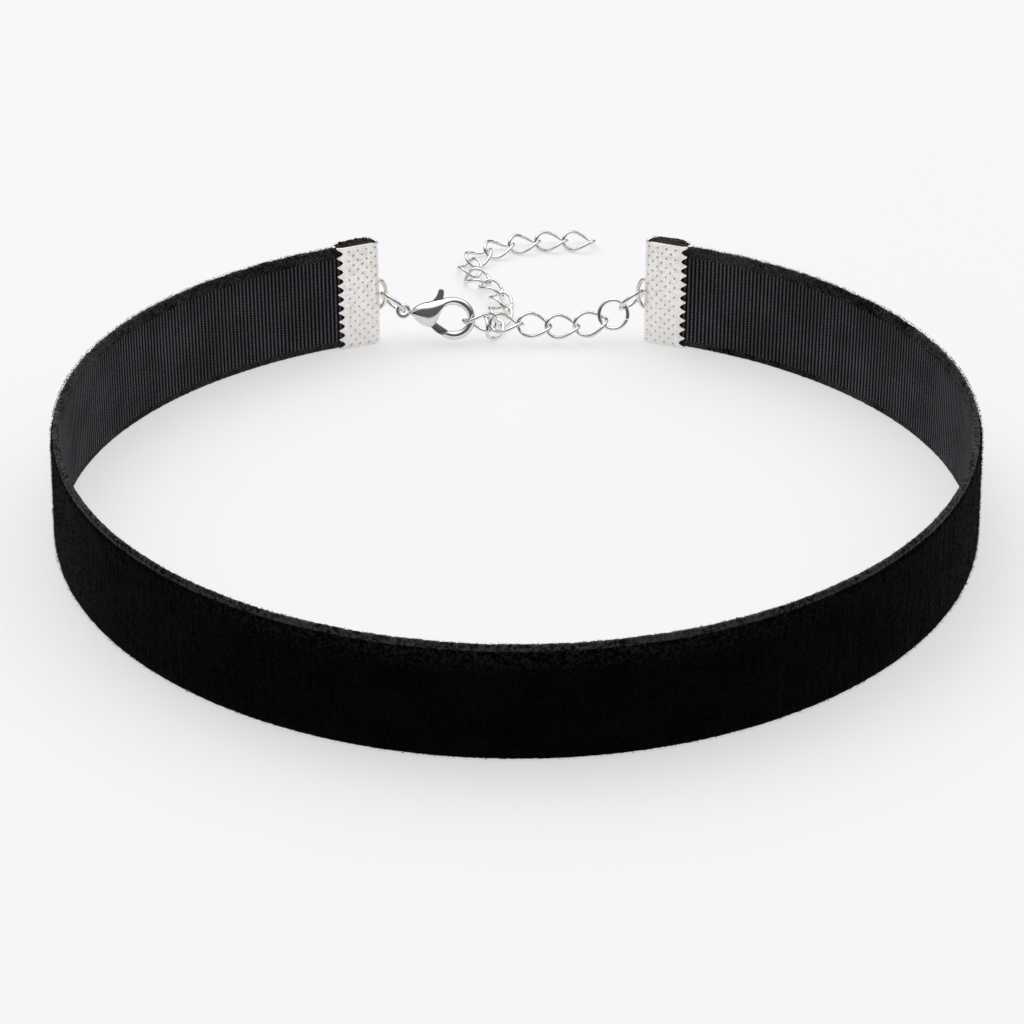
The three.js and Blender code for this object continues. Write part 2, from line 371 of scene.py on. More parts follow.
def new_group(name: str, inputs: dict[str, object], outputs: dict[str, str]) -> tuple:
    """An empty shader node group with named sockets.

    Args:
        name: the group's name.
        inputs: default values by socket name. A tuple of four is a colour and one of three a vector.
        outputs: socket types by name.

    Returns:
        The group, its graph, its input node and its output node.
    """
    kinds = {float: "NodeSocketFloat", 4: "NodeSocketColor", 3: "NodeSocketVector"}
    group = bpy.data.node_groups.new(name, "ShaderNodeTree")
    for label, value in inputs.items():
        kind = kinds[float] if isinstance(value, float) else kinds[len(value)]
        socket = group.interface.new_socket(label, in_out="INPUT", socket_type=kind)
        socket.default_value = value
    for label, kind in outputs.items():
        group.interface.new_socket(label, in_out="OUTPUT", socket_type=kind)
    graph = Graph(group)
    return group, graph, graph.node("NodeGroupInput"), graph.node("NodeGroupOutput")


class SurfaceEffects:
    """The node groups that several finishes share, each built once."""

    STRAY_SCALE = 1300.0
    YARN_FIBRE_SCALE = 5000.0
    YARN_FIBRE_SHARE = 0.6
    CREST_SHARPNESS = 3.5
    PATCH_LIMITS = (0.42, 0.72)
    MARK_SCALE = 4200.0
    LIE_SCALE = 150.0
    SHADE_LIMITS = (0.38, 0.62)

    def __init__(self) -> None:
        """Builds the groups."""
        self.yarns = self._woven_yarns()
        self.wear = self._handled_metal()
        self.fuzz = self._fibre_shade()

    def _woven_yarns(self) -> bpy.types.NodeTree:
        """Yarns that cross a ribbon's ribs.

        Returns:
            A group that gives the yarns' height, a mask of painted shade in the gaps between them, and a
            mask of painted highlight on the crests of the ribs. Its vector is the place on the ribbon: along
            it, and up from its lower edge.
        """
        group, graph, given, result = new_group(
            "woven_yarns",
            {
                "Place": (0.0, 0.0, 0.0),
                "Rib pitch": 0.00059,
                "Yarn pitch": 0.00024,
                "Slant": 0.0,
                "Waver": 0.3,
                "Gap width": 0.85,
            },
            {"Height": "NodeSocketFloat", "Gap shade": "NodeSocketFloat", "Crest highlight": "NodeSocketFloat"},
        )
        split = graph.node("ShaderNodeSeparateXYZ", {0: given.outputs["Place"]})
        along = graph.math("DIVIDE", split.outputs[0], given.outputs["Rib pitch"])
        rib = graph.math("FLOOR", along)
        shift = graph.math("MULTIPLY", graph.math("MODULO", rib, 2.0), 0.5)
        zigzag = graph.math("PINGPONG", along, 1.0)
        slanted = graph.math("MULTIPLY", zigzag, given.outputs["Slant"])
        rise = graph.math("DIVIDE", split.outputs[1], given.outputs["Yarn pitch"])
        stray = graph.math("SUBTRACT", graph.noise(given.outputs["Place"], self.STRAY_SCALE, 3.0), 0.5)
        stray = graph.math("MULTIPLY", stray, given.outputs["Waver"])
        phase = graph.math("ADD", graph.math("ADD", rise, shift), graph.math("ADD", slanted, stray))
        wave = graph.math("ABSOLUTE", graph.math("SINE", graph.math("MULTIPLY", phase, math.pi)))
        fibres = graph.noise(given.outputs["Place"], self.YARN_FIBRE_SCALE, 3.0)
        height = graph.math("ADD", wave, graph.math("MULTIPLY", fibres, self.YARN_FIBRE_SHARE))
        # Painted shade: this mask is 1 where the yarns dip apart.
        gap_shade = graph.math("SUBTRACT", 1.0, graph.math("POWER", wave, given.outputs["Gap width"]))
        # Painted highlight: this mask peaks on each rib's crest.
        swell = graph.math("ABSOLUTE", graph.math("SINE", graph.math("MULTIPLY", along, math.pi)))
        crest_highlight = graph.math("POWER", swell, self.CREST_SHARPNESS)
        graph.tree.links.new(crest_highlight, result.inputs["Crest highlight"])
        graph.tree.links.new(height, result.inputs["Height"])
        graph.tree.links.new(gap_shade, result.inputs["Gap shade"])
        return group

    def _handled_metal(self) -> bpy.types.NodeTree:
        """Faint tarnish and polishing marks on plated metal.

        Returns:
            A group that gives a colour, a roughness and a height.
        """
        group, graph, given, result = new_group(
            "handled_metal",
            {
                "Clean": (0.8, 0.8, 0.8, 1.0),
                "Tarnish": (0.7, 0.66, 0.64, 1.0),
                "Patch scale": 260.0,
                "Roughness": 0.2,
                "Spread": 0.1,
            },
            {"Color": "NodeSocketColor", "Roughness": "NodeSocketFloat", "Height": "NodeSocketFloat"},
        )
        place = graph.node("ShaderNodeTexCoord").outputs["Object"]
        patches = graph.node(
            "ShaderNodeTexNoise", {"Vector": place, "Scale": given.outputs["Patch scale"], "Detail": 3.0}
        ).outputs[0]
        mask = graph.limited(patches, *self.PATCH_LIMITS)
        color = graph.mix(mask, given.outputs["Clean"], given.outputs["Tarnish"])
        marks = graph.noise(place, self.MARK_SCALE, 4.0)
        spread = graph.math("MULTIPLY", graph.math("SUBTRACT", marks, 0.5), given.outputs["Spread"])
        patchy = graph.math("MULTIPLY", mask, given.outputs["Spread"])
        rough = graph.math("ADD", graph.math("ADD", given.outputs["Roughness"], spread), patchy)
        graph.tree.links.new(color, result.inputs["Color"])
        graph.tree.links.new(rough, result.inputs["Roughness"])
        graph.tree.links.new(marks, result.inputs["Height"])
        return group

    def _fibre_shade(self) -> bpy.types.NodeTree:
        """Uneven dye and lie of fine fibres.

        Returns:
            A group that gives a colour between two, and a height.
        """
        group, graph, given, result = new_group(
            "fibre_shade",
            {"Deep": (0.002, 0.002, 0.002, 1.0), "Lit": (0.01, 0.01, 0.012, 1.0), "Fibre scale": 6000.0},
            {"Color": "NodeSocketColor", "Height": "NodeSocketFloat"},
        )
        place = graph.node("ShaderNodeTexCoord").outputs["Object"]
        lie = graph.noise(place, self.LIE_SCALE, 3.0)
        fine = graph.node(
            "ShaderNodeTexNoise", {"Vector": place, "Scale": given.outputs["Fibre scale"], "Detail": 3.0}
        ).outputs[0]
        both = graph.math("MULTIPLY", graph.math("ADD", lie, fine), 0.5)
        mask = graph.limited(both, *self.SHADE_LIMITS)
        color = graph.mix(mask, given.outputs["Deep"], given.outputs["Lit"])
        graph.tree.links.new(color, result.inputs["Color"])
        graph.tree.links.new(fine, result.inputs["Height"])
        return group


def new_material(name: str, shader: dict[str, object]) -> tuple[bpy.types.Material, Graph, bpy.types.Node]:
    """A material with one Principled shader.

    Args:
        name: the material's name.
        shader: values for the shader's own sockets.

    Returns:
        The material, its graph and its shader.
    """
    material = bpy.data.materials.new(name)
    material.use_nodes = True
    graph = Graph(material.node_tree)
    principled = material.node_tree.nodes["Principled BSDF"]
    for label, value in shader.items():
        principled.inputs[label].default_value = value
    return material, graph, principled


def add_bump(graph: Graph, shader: bpy.types.Node, height: object, strength: float, distance: float) -> None:
    """Feeds a height into a shader's normal.

    Args:
        graph: the material's graph.
        shader: its Principled shader.
        height: socket that gives the height.
        strength: how strong the bump is.
        distance: height in metres of a full step.
    """
    inputs = {"Strength": strength, "Distance": distance, "Height": height}
    bump = graph.node("ShaderNodeBump", inputs)
    graph.tree.links.new(bump.outputs[0], shader.inputs["Normal"])


@dataclass(frozen=True)
class PileFinish:
    """Velvet pile: almost black, lighter where it is seen edge on, its colour with a painted sheen.

    The painted sheen lightens the colour along the upper edge, most at the front, and over the two
    sides. The heights and depths are where each of these begins and where it is complete.
    """

    name: str = "velvet_pile"
    deep: tuple = (0.0002, 0.0002, 0.0003, 1.0)
    lit: tuple = (0.0024, 0.0023, 0.0032, 1.0)
    sheen: float = 0.045
    sheen_tint: tuple = (0.62, 0.64, 0.8, 1.0)
    fibre_scale: float = 2300.0
    flecks: float = 0.05
    fleck_limits: tuple = (0.46, 0.62)
    sheen_paint: tuple = (0.017, 0.0168, 0.0175, 1.0)
    sheen_paint_heights: tuple = (12.0 * MM, 15.6 * MM)
    sheen_paint_depths: tuple = (-50 * MM, -66 * MM)
    sheen_paint_at_sides: float = 0.15
    side_sheen_depths: tuple = (-42 * MM, -20 * MM)
    side_sheen_share: float = 0.8
    bump_height: float = 0.3 * MM

    def material(self, effects: SurfaceEffects) -> bpy.types.Material:
        """Builds the material, whose colour has a painted sheen, most at the front and at the two sides.

        Args:
            effects: the shared node groups.

        Returns:
            The material.
        """
        shader = {"Roughness": 1.0, "Specular IOR Level": 0.02, "Sheen Roughness": 0.4, "Coat Roughness": 1.0}
        shader["Sheen Weight"] = self.sheen
        shader["Sheen Tint"] = self.sheen_tint
        material, graph, principled = new_material(self.name, shader)
        inputs = {"Deep": self.deep, "Lit": self.lit, "Fibre scale": self.fibre_scale}
        fuzz = graph.node("ShaderNodeGroup", node_tree=effects.fuzz)
        for label, value in inputs.items():
            fuzz.inputs[label].default_value = value
        place = graph.node("ShaderNodeTexCoord").outputs["Object"]
        split = graph.node("ShaderNodeSeparateXYZ", {0: place})
        catch = graph.limited(fuzz.outputs["Height"], *self.fleck_limits)
        rise = graph.limited(split.outputs[2], *self.sheen_paint_heights)
        front = graph.limited(split.outputs[1], *self.sheen_paint_depths, self.sheen_paint_at_sides)
        side = graph.math("MULTIPLY", graph.limited(split.outputs[1], *self.side_sheen_depths), self.side_sheen_share)
        # Painted sheen: the colour is lighter towards the upper edge, most at the front, and over the two
        # sides.
        sheen_paint_mask = graph.math("MAXIMUM", graph.math("MULTIPLY", rise, front), side)
        color = graph.mix(graph.math("MULTIPLY", sheen_paint_mask, catch), fuzz.outputs["Color"], self.sheen_paint)
        graph.tree.links.new(color, principled.inputs["Base Color"])
        graph.tree.links.new(graph.math("MULTIPLY", catch, self.flecks), principled.inputs["Coat Weight"])
        add_bump(graph, principled, fuzz.outputs["Height"], 1.0, self.bump_height)
        return material


class Weave(Enum):
    """The two weaves of the ribbon's ground: its ribs, and the twill of its edges."""

    RIBBED = 0.0
    TWILL = 2.2


@dataclass(frozen=True)
class WovenFinish:
    """Woven polyester, ribbed or twilled, with painted shade between yarns and, if ribbed, between ribs."""

    name: str
    weave: Weave
    yarn: tuple = (0.155, 0.154, 0.172, 1.0)
    # Colour of the painted shade between yarns and, if ribbed, between ribs.
    gap: tuple = (0.0012, 0.0012, 0.0016, 1.0)
    rib_pitch: float = 0.59 * MM
    yarn_pitch: float = 0.37 * MM
    shades: tuple = (0.65, 1.3)
    fibre_scale: float = 4500.0
    waver: float = 0.6
    gap_width: float = 0.85
    roughness: float = 0.6
    bump: float = 0.5
    bump_height: float = 0.06 * MM
    sheen: float = 0.0

    def material(self, effects: SurfaceEffects) -> bpy.types.Material:
        """Builds the material from the shared effects.

        Args:
            effects: the shared node groups.

        Returns:
            The material.
        """
        shader = {"Roughness": self.roughness, "Specular IOR Level": 0.03, "Sheen Weight": self.sheen}
        shader["Sheen Roughness"] = 0.35
        shader["Sheen Tint"] = (0.8, 0.84, 1.0, 1.0)
        material, graph, principled = new_material(self.name, shader)
        place = graph.node("ShaderNodeUVMap", uv_map=VelvetRibbon.PLACE_MAP).outputs[0]
        yarns = graph.node("ShaderNodeGroup", node_tree=effects.yarns)
        graph.tree.links.new(place, yarns.inputs["Place"])
        yarns.inputs["Rib pitch"].default_value = self.rib_pitch
        yarns.inputs["Yarn pitch"].default_value = self.yarn_pitch
        yarns.inputs["Slant"].default_value = self.weave.value
        yarns.inputs["Waver"].default_value = self.waver
        yarns.inputs["Gap width"].default_value = self.gap_width
        fuzz = graph.node("ShaderNodeGroup", node_tree=effects.fuzz)
        for label, shade in zip(("Deep", "Lit"), self.shades):
            fuzz.inputs[label].default_value = tuple(shade * value for value in self.yarn[:3]) + (1.0,)
        fuzz.inputs["Fibre scale"].default_value = self.fibre_scale
        # Painted shade: the gap colour where the yarns dip apart.
        color = graph.mix(yarns.outputs["Gap shade"], fuzz.outputs["Color"], self.gap)
        if self.weave is Weave.RIBBED:
            # Painted shade between the ribs, which leaves their crests lighter, as a painted highlight.
            color = graph.mix(yarns.outputs["Crest highlight"], self.gap, color)
        graph.tree.links.new(color, principled.inputs["Base Color"])
        add_bump(graph, principled, yarns.outputs["Height"], self.bump, self.bump_height)
        return material


@dataclass(frozen=True)
class PlatedFinish:
    """Plated steel, from satin to polished."""

    name: str
    clean: tuple
    tarnish: tuple
    roughness: float
    spread: float
    patch_scale: float = 260.0
    bump: float = 0.03
    bump_height: float = 0.03 * MM
    pits: bool = False
    # Colour of the painted shade in the pits.
    pit_shade: tuple = (0.30, 0.28, 0.265, 1.0)

    def material(self, effects: SurfaceEffects) -> bpy.types.Material:
        """Builds the material from the shared effects.

        Args:
            effects: the shared node groups.

        Returns:
            The material.
        """
        material, graph, principled = new_material(self.name, {"Metallic": 1.0})
        wear = graph.node("ShaderNodeGroup", node_tree=effects.wear)
        wear.inputs["Clean"].default_value = self.clean
        wear.inputs["Tarnish"].default_value = self.tarnish
        wear.inputs["Patch scale"].default_value = self.patch_scale
        wear.inputs["Roughness"].default_value = self.roughness
        wear.inputs["Spread"].default_value = self.spread
        color = wear.outputs["Color"]
        if self.pits:
            depth = graph.node("ShaderNodeAttribute", attribute_name=CrimpEnd.PIT_MASK).outputs["Fac"]
            # Painted shade: the pits darken with their depth.
            color = graph.mix(depth, color, self.pit_shade)
        graph.tree.links.new(color, principled.inputs["Base Color"])
        graph.tree.links.new(wear.outputs["Roughness"], principled.inputs["Roughness"])
        add_bump(graph, principled, wear.outputs["Height"], self.bump, self.bump_height)
        return material


@dataclass
class Finishes:
    """Every material of the choker."""

    effects: SurfaceEffects = field(default_factory=SurfaceEffects)

    def __post_init__(self) -> None:
        """Builds the materials."""
        self.pile = PileFinish().material(self.effects)
        self.ribs = WovenFinish("ribbed_ground", Weave.RIBBED).material(self.effects)
        self.selvage = WovenFinish(
            "twill_selvage",
            Weave.TWILL,
            yarn=(0.066, 0.063, 0.066, 1.0),
            shades=(0.05, 1.7),
            fibre_scale=2300.0,
            waver=0.7,
            gap_width=1.5,
            rib_pitch=0.95 * MM,
            yarn_pitch=0.55 * MM,
            bump=1.0,
            sheen=0.03,
        ).material(self.effects)
        self.raw_edge = WovenFinish(
            "raw_edge",
            Weave.TWILL,
            yarn=(0.052, 0.040, 0.031, 1.0),
            shades=(0.1, 2.2),
            fibre_scale=2000.0,
            waver=3.0,
            rib_pitch=0.8 * MM,
            yarn_pitch=0.45 * MM,
            bump=1.0,
        ).material(self.effects)
        # The edge's colour also carries the painted sheen, lightened up to its lit colour.
        self.edge = PileFinish(
            "edge_loops",
            deep=(0.0015, 0.0015, 0.0018, 1.0),
            lit=(0.062, 0.059, 0.061, 1.0),
            sheen=0.32,
            sheen_tint=(0.8, 0.8, 0.88, 1.0),
            fibre_scale=2100.0,
            flecks=0.2,
            sheen_paint=(0.062, 0.059, 0.061, 1.0),
        ).material(self.effects)
        # The loose fibres' colour also carries the painted sheen, lightened up to their lit colour.
        self.fibre = PileFinish(
            "loose_fibre",
            deep=(0.001, 0.001, 0.001, 1.0),
            lit=(0.005, 0.0048, 0.005, 1.0),
            sheen=0.004,
            flecks=0.0,
            sheen_paint=(0.005, 0.0048, 0.005, 1.0),
        ).material(self.effects)
        self.crimp = PlatedFinish(
            "crimp_steel",
            clean=(0.93, 0.905, 0.87, 1.0),
            tarnish=(0.83, 0.785, 0.75, 1.0),
            roughness=0.34,
            spread=0.10,
            patch_scale=1500.0,
            pits=True,
        ).material(self.effects)
        self.bright = PlatedFinish(
            "bright_steel",
            clean=(0.80, 0.785, 0.765, 1.0),
            tarnish=(0.70, 0.675, 0.65, 1.0),
            roughness=0.09,
            spread=0.08,
            patch_scale=420.0,
        ).material(self.effects)
        self.cast = PlatedFinish(
            "polished_casting",
            clean=(0.80, 0.785, 0.765, 1.0),
            tarnish=(0.71, 0.685, 0.66, 1.0),
            roughness=0.13,
            spread=0.10,
            patch_scale=300.0,
        ).material(self.effects)


# ---------------------------------------------------------------------------
# Ribbon
# ---------------------------------------------------------------------------


@dataclass
class RibbonPlan:
    """Middle line of the ribbon seen from above: two half ellipses of one width.

    The depths and the two mouths are measured from the loop's centre. The width and the place
    of the centre come from the frame.
    """

    front_depth: float = 54.7 * MM
    back_depth: float = 49.4 * MM
    left_mouth: float = -25.6 * MM
    right_mouth: float = 24.5 * MM
    thickness: float = 1.0 * MM

    def __post_init__(self) -> None:
        """Takes the width and the centre from the frame."""
        low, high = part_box("velvet_ribbon")
        self.half_width = (high.x - low.x - self.thickness) / 2
        self.centre = np.array([(low.x + high.x) / 2, low.y + self.front_depth + self.thickness / 2])
        self.height = high.z - low.z
        self.right_angle = math.acos(self.right_mouth / self.half_width)
        self.left_angle = math.acos(self.left_mouth / self.half_width)

    def point(self, angle: np.ndarray) -> np.ndarray:
        """Points of the middle line at angles that run anticlockwise from +X."""
        depth = np.where(np.sin(angle) > 0, self.back_depth, self.front_depth)
        return self.centre + np.stack([self.half_width * np.cos(angle), depth * np.sin(angle)], axis=-1)

    def tangent(self, angle: np.ndarray) -> np.ndarray:
        """Unit directions of the middle line, anticlockwise.

        Args:
            angle: angles that run anticlockwise from +X.

        Returns:
            A direction for each angle.
        """
        depth = np.where(np.sin(angle) > 0, self.back_depth, self.front_depth)
        along = np.stack([-self.half_width * np.sin(angle), depth * np.cos(angle)], axis=-1)
        return along / np.linalg.norm(along, axis=-1, keepdims=True)

    def stations(self, step: float, inset: float) -> tuple[np.ndarray, np.ndarray, np.ndarray]:
        """Evenly spaced places along the ribbon, from inside the right crimp to inside the left.

        Args:
            step: distance between places.
            inset: how far each end runs into its crimp.

        Returns:
            Points, outward directions, and distances from the right-hand mouth.
        """
        sweep = self.right_angle - self.left_angle + 2 * math.pi
        angle = self.right_angle - np.linspace(0, sweep, 6001)
        curve = self.point(angle)
        length = np.concatenate([[0], np.cumsum(np.linalg.norm(np.diff(curve, axis=0), axis=1))])
        self.length = float(length[-1])
        count = round((self.length + 2 * inset) / step)
        along = np.linspace(-inset, self.length + inset, count)
        at = np.interp(along, length, angle)
        points = self.point(at)
        tangent = -self.tangent(at)
        beyond = along - np.clip(along, 0, self.length)
        points = points + tangent * beyond[:, None]
        outward = np.stack([-tangent[:, 1], tangent[:, 0]], axis=-1)
        return points, outward, along

    def mouth(self, right: bool) -> Matrix:
        """Place of a crimp: its origin at the ribbon's mouth and its X the way that the ribbon was going.

        Args:
            right: whether it is the right-hand crimp.

        Returns:
            The place as a matrix.
        """
        angle = self.right_angle if right else self.left_angle
        heading = self.tangent(np.array(angle)) * (1 if right else -1)
        point = self.point(np.array(angle))
        turn = Matrix.Rotation(math.atan2(heading[1], heading[0]), 4, "Z")
        return Matrix.Translation((point[0], point[1], 0)) @ turn


class Zone(Enum):
    """Which finish a strip of the ribbon's surface has."""

    RIBS = 0
    PILE = 1
    SELVAGE = 2
    RAW_EDGE = 3
    EDGE = 4


@dataclass(frozen=True)
class SectionRow:
    """One corner of the ribbon's section, and the strip of surface that starts there.

    Offsets are shares of half the thickness, from -1 on the ribbed face to 1 on the pile. The
    last two say where the corner moves to inside a crimp, where the end is turned over.
    """

    height: float
    offset: float
    ribs: float = 0.0
    zone: Zone = Zone.SELVAGE
    turned_rise: float = 0.0
    turned_offset: float | None = None


@dataclass
class VelvetRibbon:
    """The ribbon: ribbed ground inside, pile outside, twilled selvages, ends turned over.

    The upper edge wavers from edge_from of the ribbon's height, fully after edge_run more. The
    lumps are on the corners whose offset is pile_from or more.
    """

    plan: RibbonPlan
    rib_pitch: float = 0.59 * MM
    rib_depth: float = 0.10 * MM
    rib_roundness: float = 0.7
    rib_samples: int = 5
    upper_margin: float = 1.5 * MM
    lower_margin: float = 1.15 * MM
    pile_run: float = 1.9 * MM
    folded_thickness: float = 1.42 * MM
    inset: float = 4.9 * MM
    swell: float = 0.8 * MM
    side_lean: float = 0.7 * MM
    lean_run: float = 22 * MM
    roughness: float = 0.03 * MM
    raw_roughness: float = 0.08 * MM
    raw_ribs: float = 0.14 * MM
    edge_waver: float = 0.04 * MM
    edge_loop_pitch: float = 0.95 * MM
    edge_loop: float = 0.06 * MM
    edge_from: float = 0.9
    edge_run: float = 0.08
    pile_from: float = 0.9
    lump: float = 0.015 * MM
    raw_from: float = 0.3
    seed: int = 11

    PLACE_MAP = "place_on_ribbon"
    WAVER_LENGTHS = (31 * MM, 13 * MM, 5.3 * MM, 1.9 * MM)
    LUMP_LENGTHS = (23 * MM, 9 * MM, 4 * MM)

    def _section(self) -> list[SectionRow]:
        """Closed section of the ribbon, seen along its length, up the inside and down the outside.

        Returns:
            The corners in order.
        """
        top, lower = self.plan.height, self.lower_margin
        upper = top - self.upper_margin
        rows = [SectionRow(0.12 * MM, -0.8), SectionRow(0.3 * MM, -1.0, 0.5)]
        rows += [SectionRow(lower - 0.4 * MM, -0.94, 0.45), SectionRow(lower - 0.12 * MM, -0.9, 0.4)]
        rows += [SectionRow(z, -1.0, 1.0, Zone.RIBS) for z in np.linspace(lower, upper, 9)[:-1]]
        rows += [SectionRow(upper, -1.0, 1.0), SectionRow(upper + 0.15 * MM, -0.9, 0.4)]
        rows += [SectionRow(top - 0.75 * MM, -0.96, 0.45), SectionRow(top - 0.3 * MM, -1.0, 0.5)]
        rows += [
            SectionRow(top - 0.12 * MM, -0.8, 0.0, Zone.EDGE, 0.12 * MM),
            SectionRow(top - 0.03 * MM, -0.45, 0.0, Zone.EDGE, 0.18 * MM),
            SectionRow(top, -0.05, 0.0, Zone.EDGE, 0.06 * MM, -0.15),
            SectionRow(top - 0.08 * MM, 0.28, 0.0, Zone.EDGE, 0.40 * MM, 0.1),
            SectionRow(top - 0.42 * MM, 0.48, 0.0, Zone.EDGE, 0.84 * MM, 0.45),
            SectionRow(top - 0.78 * MM, 0.46, 0.0, Zone.PILE, 1.25 * MM, 0.8),
            SectionRow(top - 0.92 * MM, 0.80, 0.0, Zone.PILE, 1.36 * MM, 0.95),
            SectionRow(top - 1.15 * MM, 1.0, 0.0, Zone.PILE, 1.45 * MM, 1.0),
            SectionRow(top - 1.6 * MM, 1.0, 0.0, Zone.PILE),
        ]
        pile = np.arange(top - 2.6 * MM, 1.2 * MM, -self.pile_run)
        rows += [SectionRow(z, 1.0, 0.0, Zone.PILE) for z in pile]
        rows += [SectionRow(0.6 * MM, 0.95, 0.0, Zone.PILE), SectionRow(0.2 * MM, 0.7, 0.0, Zone.PILE)]
        rows += [SectionRow(0.05 * MM, 0.4, 0.0, Zone.PILE)]
        rows += [SectionRow(0.09 * MM, 0.1), SectionRow(0.02 * MM, -0.3)]
        return rows

    def _half_thickness(self, along: np.ndarray) -> np.ndarray:
        """Half the thickness along the ribbon, which grows where its end is turned over.

        Args:
            along: distances from the right-hand mouth.

        Returns:
            Half the thickness at each of them.
        """
        inside = np.maximum(-along, along - self.plan.length)
        grown = (self.folded_thickness - self.plan.thickness) * smoothstep(inside / self.swell)
        return (self.plan.thickness + grown) / 2

    def build(self, finishes: Finishes) -> bpy.types.Object:
        """Makes the ribbon as one closed mesh.

        Args:
            finishes: the choker's materials.

        Returns:
            The ribbon.
        """
        plan = self.plan
        points, outward, along = plan.stations(self.rib_pitch / self.rib_samples, self.inset)
        section = self._section()
        height = np.array([row.height for row in section])
        offset = np.array([row.offset for row in section])
        weight = np.array([row.ribs for row in section])
        rise = np.array([row.turned_rise for row in section])
        turned = np.array([row.offset if row.turned_offset is None else row.turned_offset for row in section])
        random = np.random.default_rng(self.seed)
        folded = smoothstep(np.maximum(-along, along - plan.length) / self.swell)[:, None]
        rib = np.abs(np.sin(math.pi * along / self.rib_pitch)) ** self.rib_roundness
        across = (offset + folded * (turned - offset)) * self._half_thickness(along)[:, None]
        across -= (weight[None] * self.rib_depth) * (rib[:, None] - 0.5)
        across += (offset >= self.pile_from)[None] * self._lumps(along, height, random)
        across += self.lean(outward, along)[:, None] * (0.5 - height / plan.height)[None]
        near_top = smoothstep((height / plan.height - self.edge_from) / self.edge_run)[None]
        raw = folded * near_top * (rise > 0)[None]
        coarse = self.roughness + raw * (self.raw_roughness - self.roughness)
        rough = self._grains(len(along), len(height), random) * (1 - weight[None]) * coarse
        z = height[None] + near_top * self._waver(along, random)[:, None] + folded * rise[None]
        z += rough * near_top
        z += raw * (offset > 0)[None] * (rib[:, None] - 0.5) * self.raw_ribs
        z = np.maximum(z, 0)
        plane = points[:, None, :] + outward[:, None, :] * (across + rough)[..., None]
        grid = np.concatenate([plane, z[..., None]], axis=-1)
        rows, columns = len(along), len(section)
        faces = grid_quads(rows, columns, wrap=True).tolist()
        last = (rows - 1) * columns
        faces += [list(range(columns)), [last + i for i in range(columns)]]
        materials = [finishes.ribs, finishes.pile, finishes.selvage, finishes.raw_edge, finishes.edge]
        ribbon = make_object("ribbon_velvet", grid.reshape(-1, 3), faces, materials)
        zones = np.tile([row.zone.value for row in section], (rows - 1, 1))
        zones[raw[:-1] > self.raw_from] = Zone.RAW_EDGE.value
        zones = np.concatenate([zones.ravel(), [Zone.RAW_EDGE.value] * 2])
        ribbon.data.polygons.foreach_set("material_index", zones.astype(np.int32))
        steps = np.hypot(np.diff(height), np.diff(offset) * plan.thickness / 2)
        self._map_places(ribbon.data, along, np.concatenate([[0], np.cumsum(steps)]))
        return ribbon

    def lean(self, outward: np.ndarray, along: np.ndarray) -> np.ndarray:
        """How much further out the lower edge stands than the upper one, most at the two sides."""
        clear = smoothstep(np.minimum(along, self.plan.length - along) / self.lean_run)
        return clear * self.side_lean * outward[:, 0] ** 4

    @staticmethod
    def _grains(rows: int, columns: int, random: np.random.Generator) -> np.ndarray:
        """Random bumps that reach over a few rows of points."""
        grains = np.repeat(random.normal(0, 1, (rows // 3 + 1, columns)), 3, axis=0)[:rows]
        return (grains + np.roll(grains, 1, axis=0)) / 2

    def _waver(self, along: np.ndarray, random: np.random.Generator) -> np.ndarray:
        """Small rises and falls of the upper edge, with the weft's turns.

        Args:
            along: distances from the right-hand mouth.
            random: source of the phases.

        Returns:
            A height for each distance.
        """
        total = np.zeros_like(along)
        for wavelength in self.WAVER_LENGTHS:
            total += np.sin(along * 2 * math.pi / wavelength + random.uniform(0, 2 * math.pi))
        loops = np.abs(np.sin(math.pi * along / self.edge_loop_pitch)) * self.edge_loop
        return total * self.edge_waver / 2 + loops

    def _lumps(self, along: np.ndarray, height: np.ndarray, random: np.random.Generator) -> np.ndarray:
        """Shallow swells of the pile, over the ribbon's length and height.

        Args:
            along: distances from the right-hand mouth.
            height: heights of the section's corners.
            random: source of the phases.

        Returns:
            An offset for each distance and corner.
        """
        total = np.zeros((len(along), len(height)))
        for wavelength in self.LUMP_LENGTHS:
            phase = random.uniform(0, 2 * math.pi, 2)
            wave = np.sin(along * 2 * math.pi / wavelength + phase[0])
            total += wave[:, None] * np.cos(height * 2 * math.pi / wavelength + phase[1])[None]
        return total * self.lump

    def _map_places(self, mesh: bpy.types.Mesh, along: np.ndarray, girth: np.ndarray) -> None:
        """Writes each corner's place along and round the ribbon, in metres, for the weaves.

        Args:
            mesh: the ribbon's mesh.
            along: distance of each row of points from the right-hand mouth.
            girth: distance of each corner round the section.
        """
        layer = mesh.uv_layers.new(name=self.PLACE_MAP)
        corner_points = np.zeros(len(mesh.loops), np.int32)
        mesh.loops.foreach_get("vertex_index", corner_points)
        flat = np.stack([along[corner_points // len(girth)], girth[corner_points % len(girth)]], axis=1)
        layer.data.foreach_set("uv", flat.astype(np.float32).ravel())


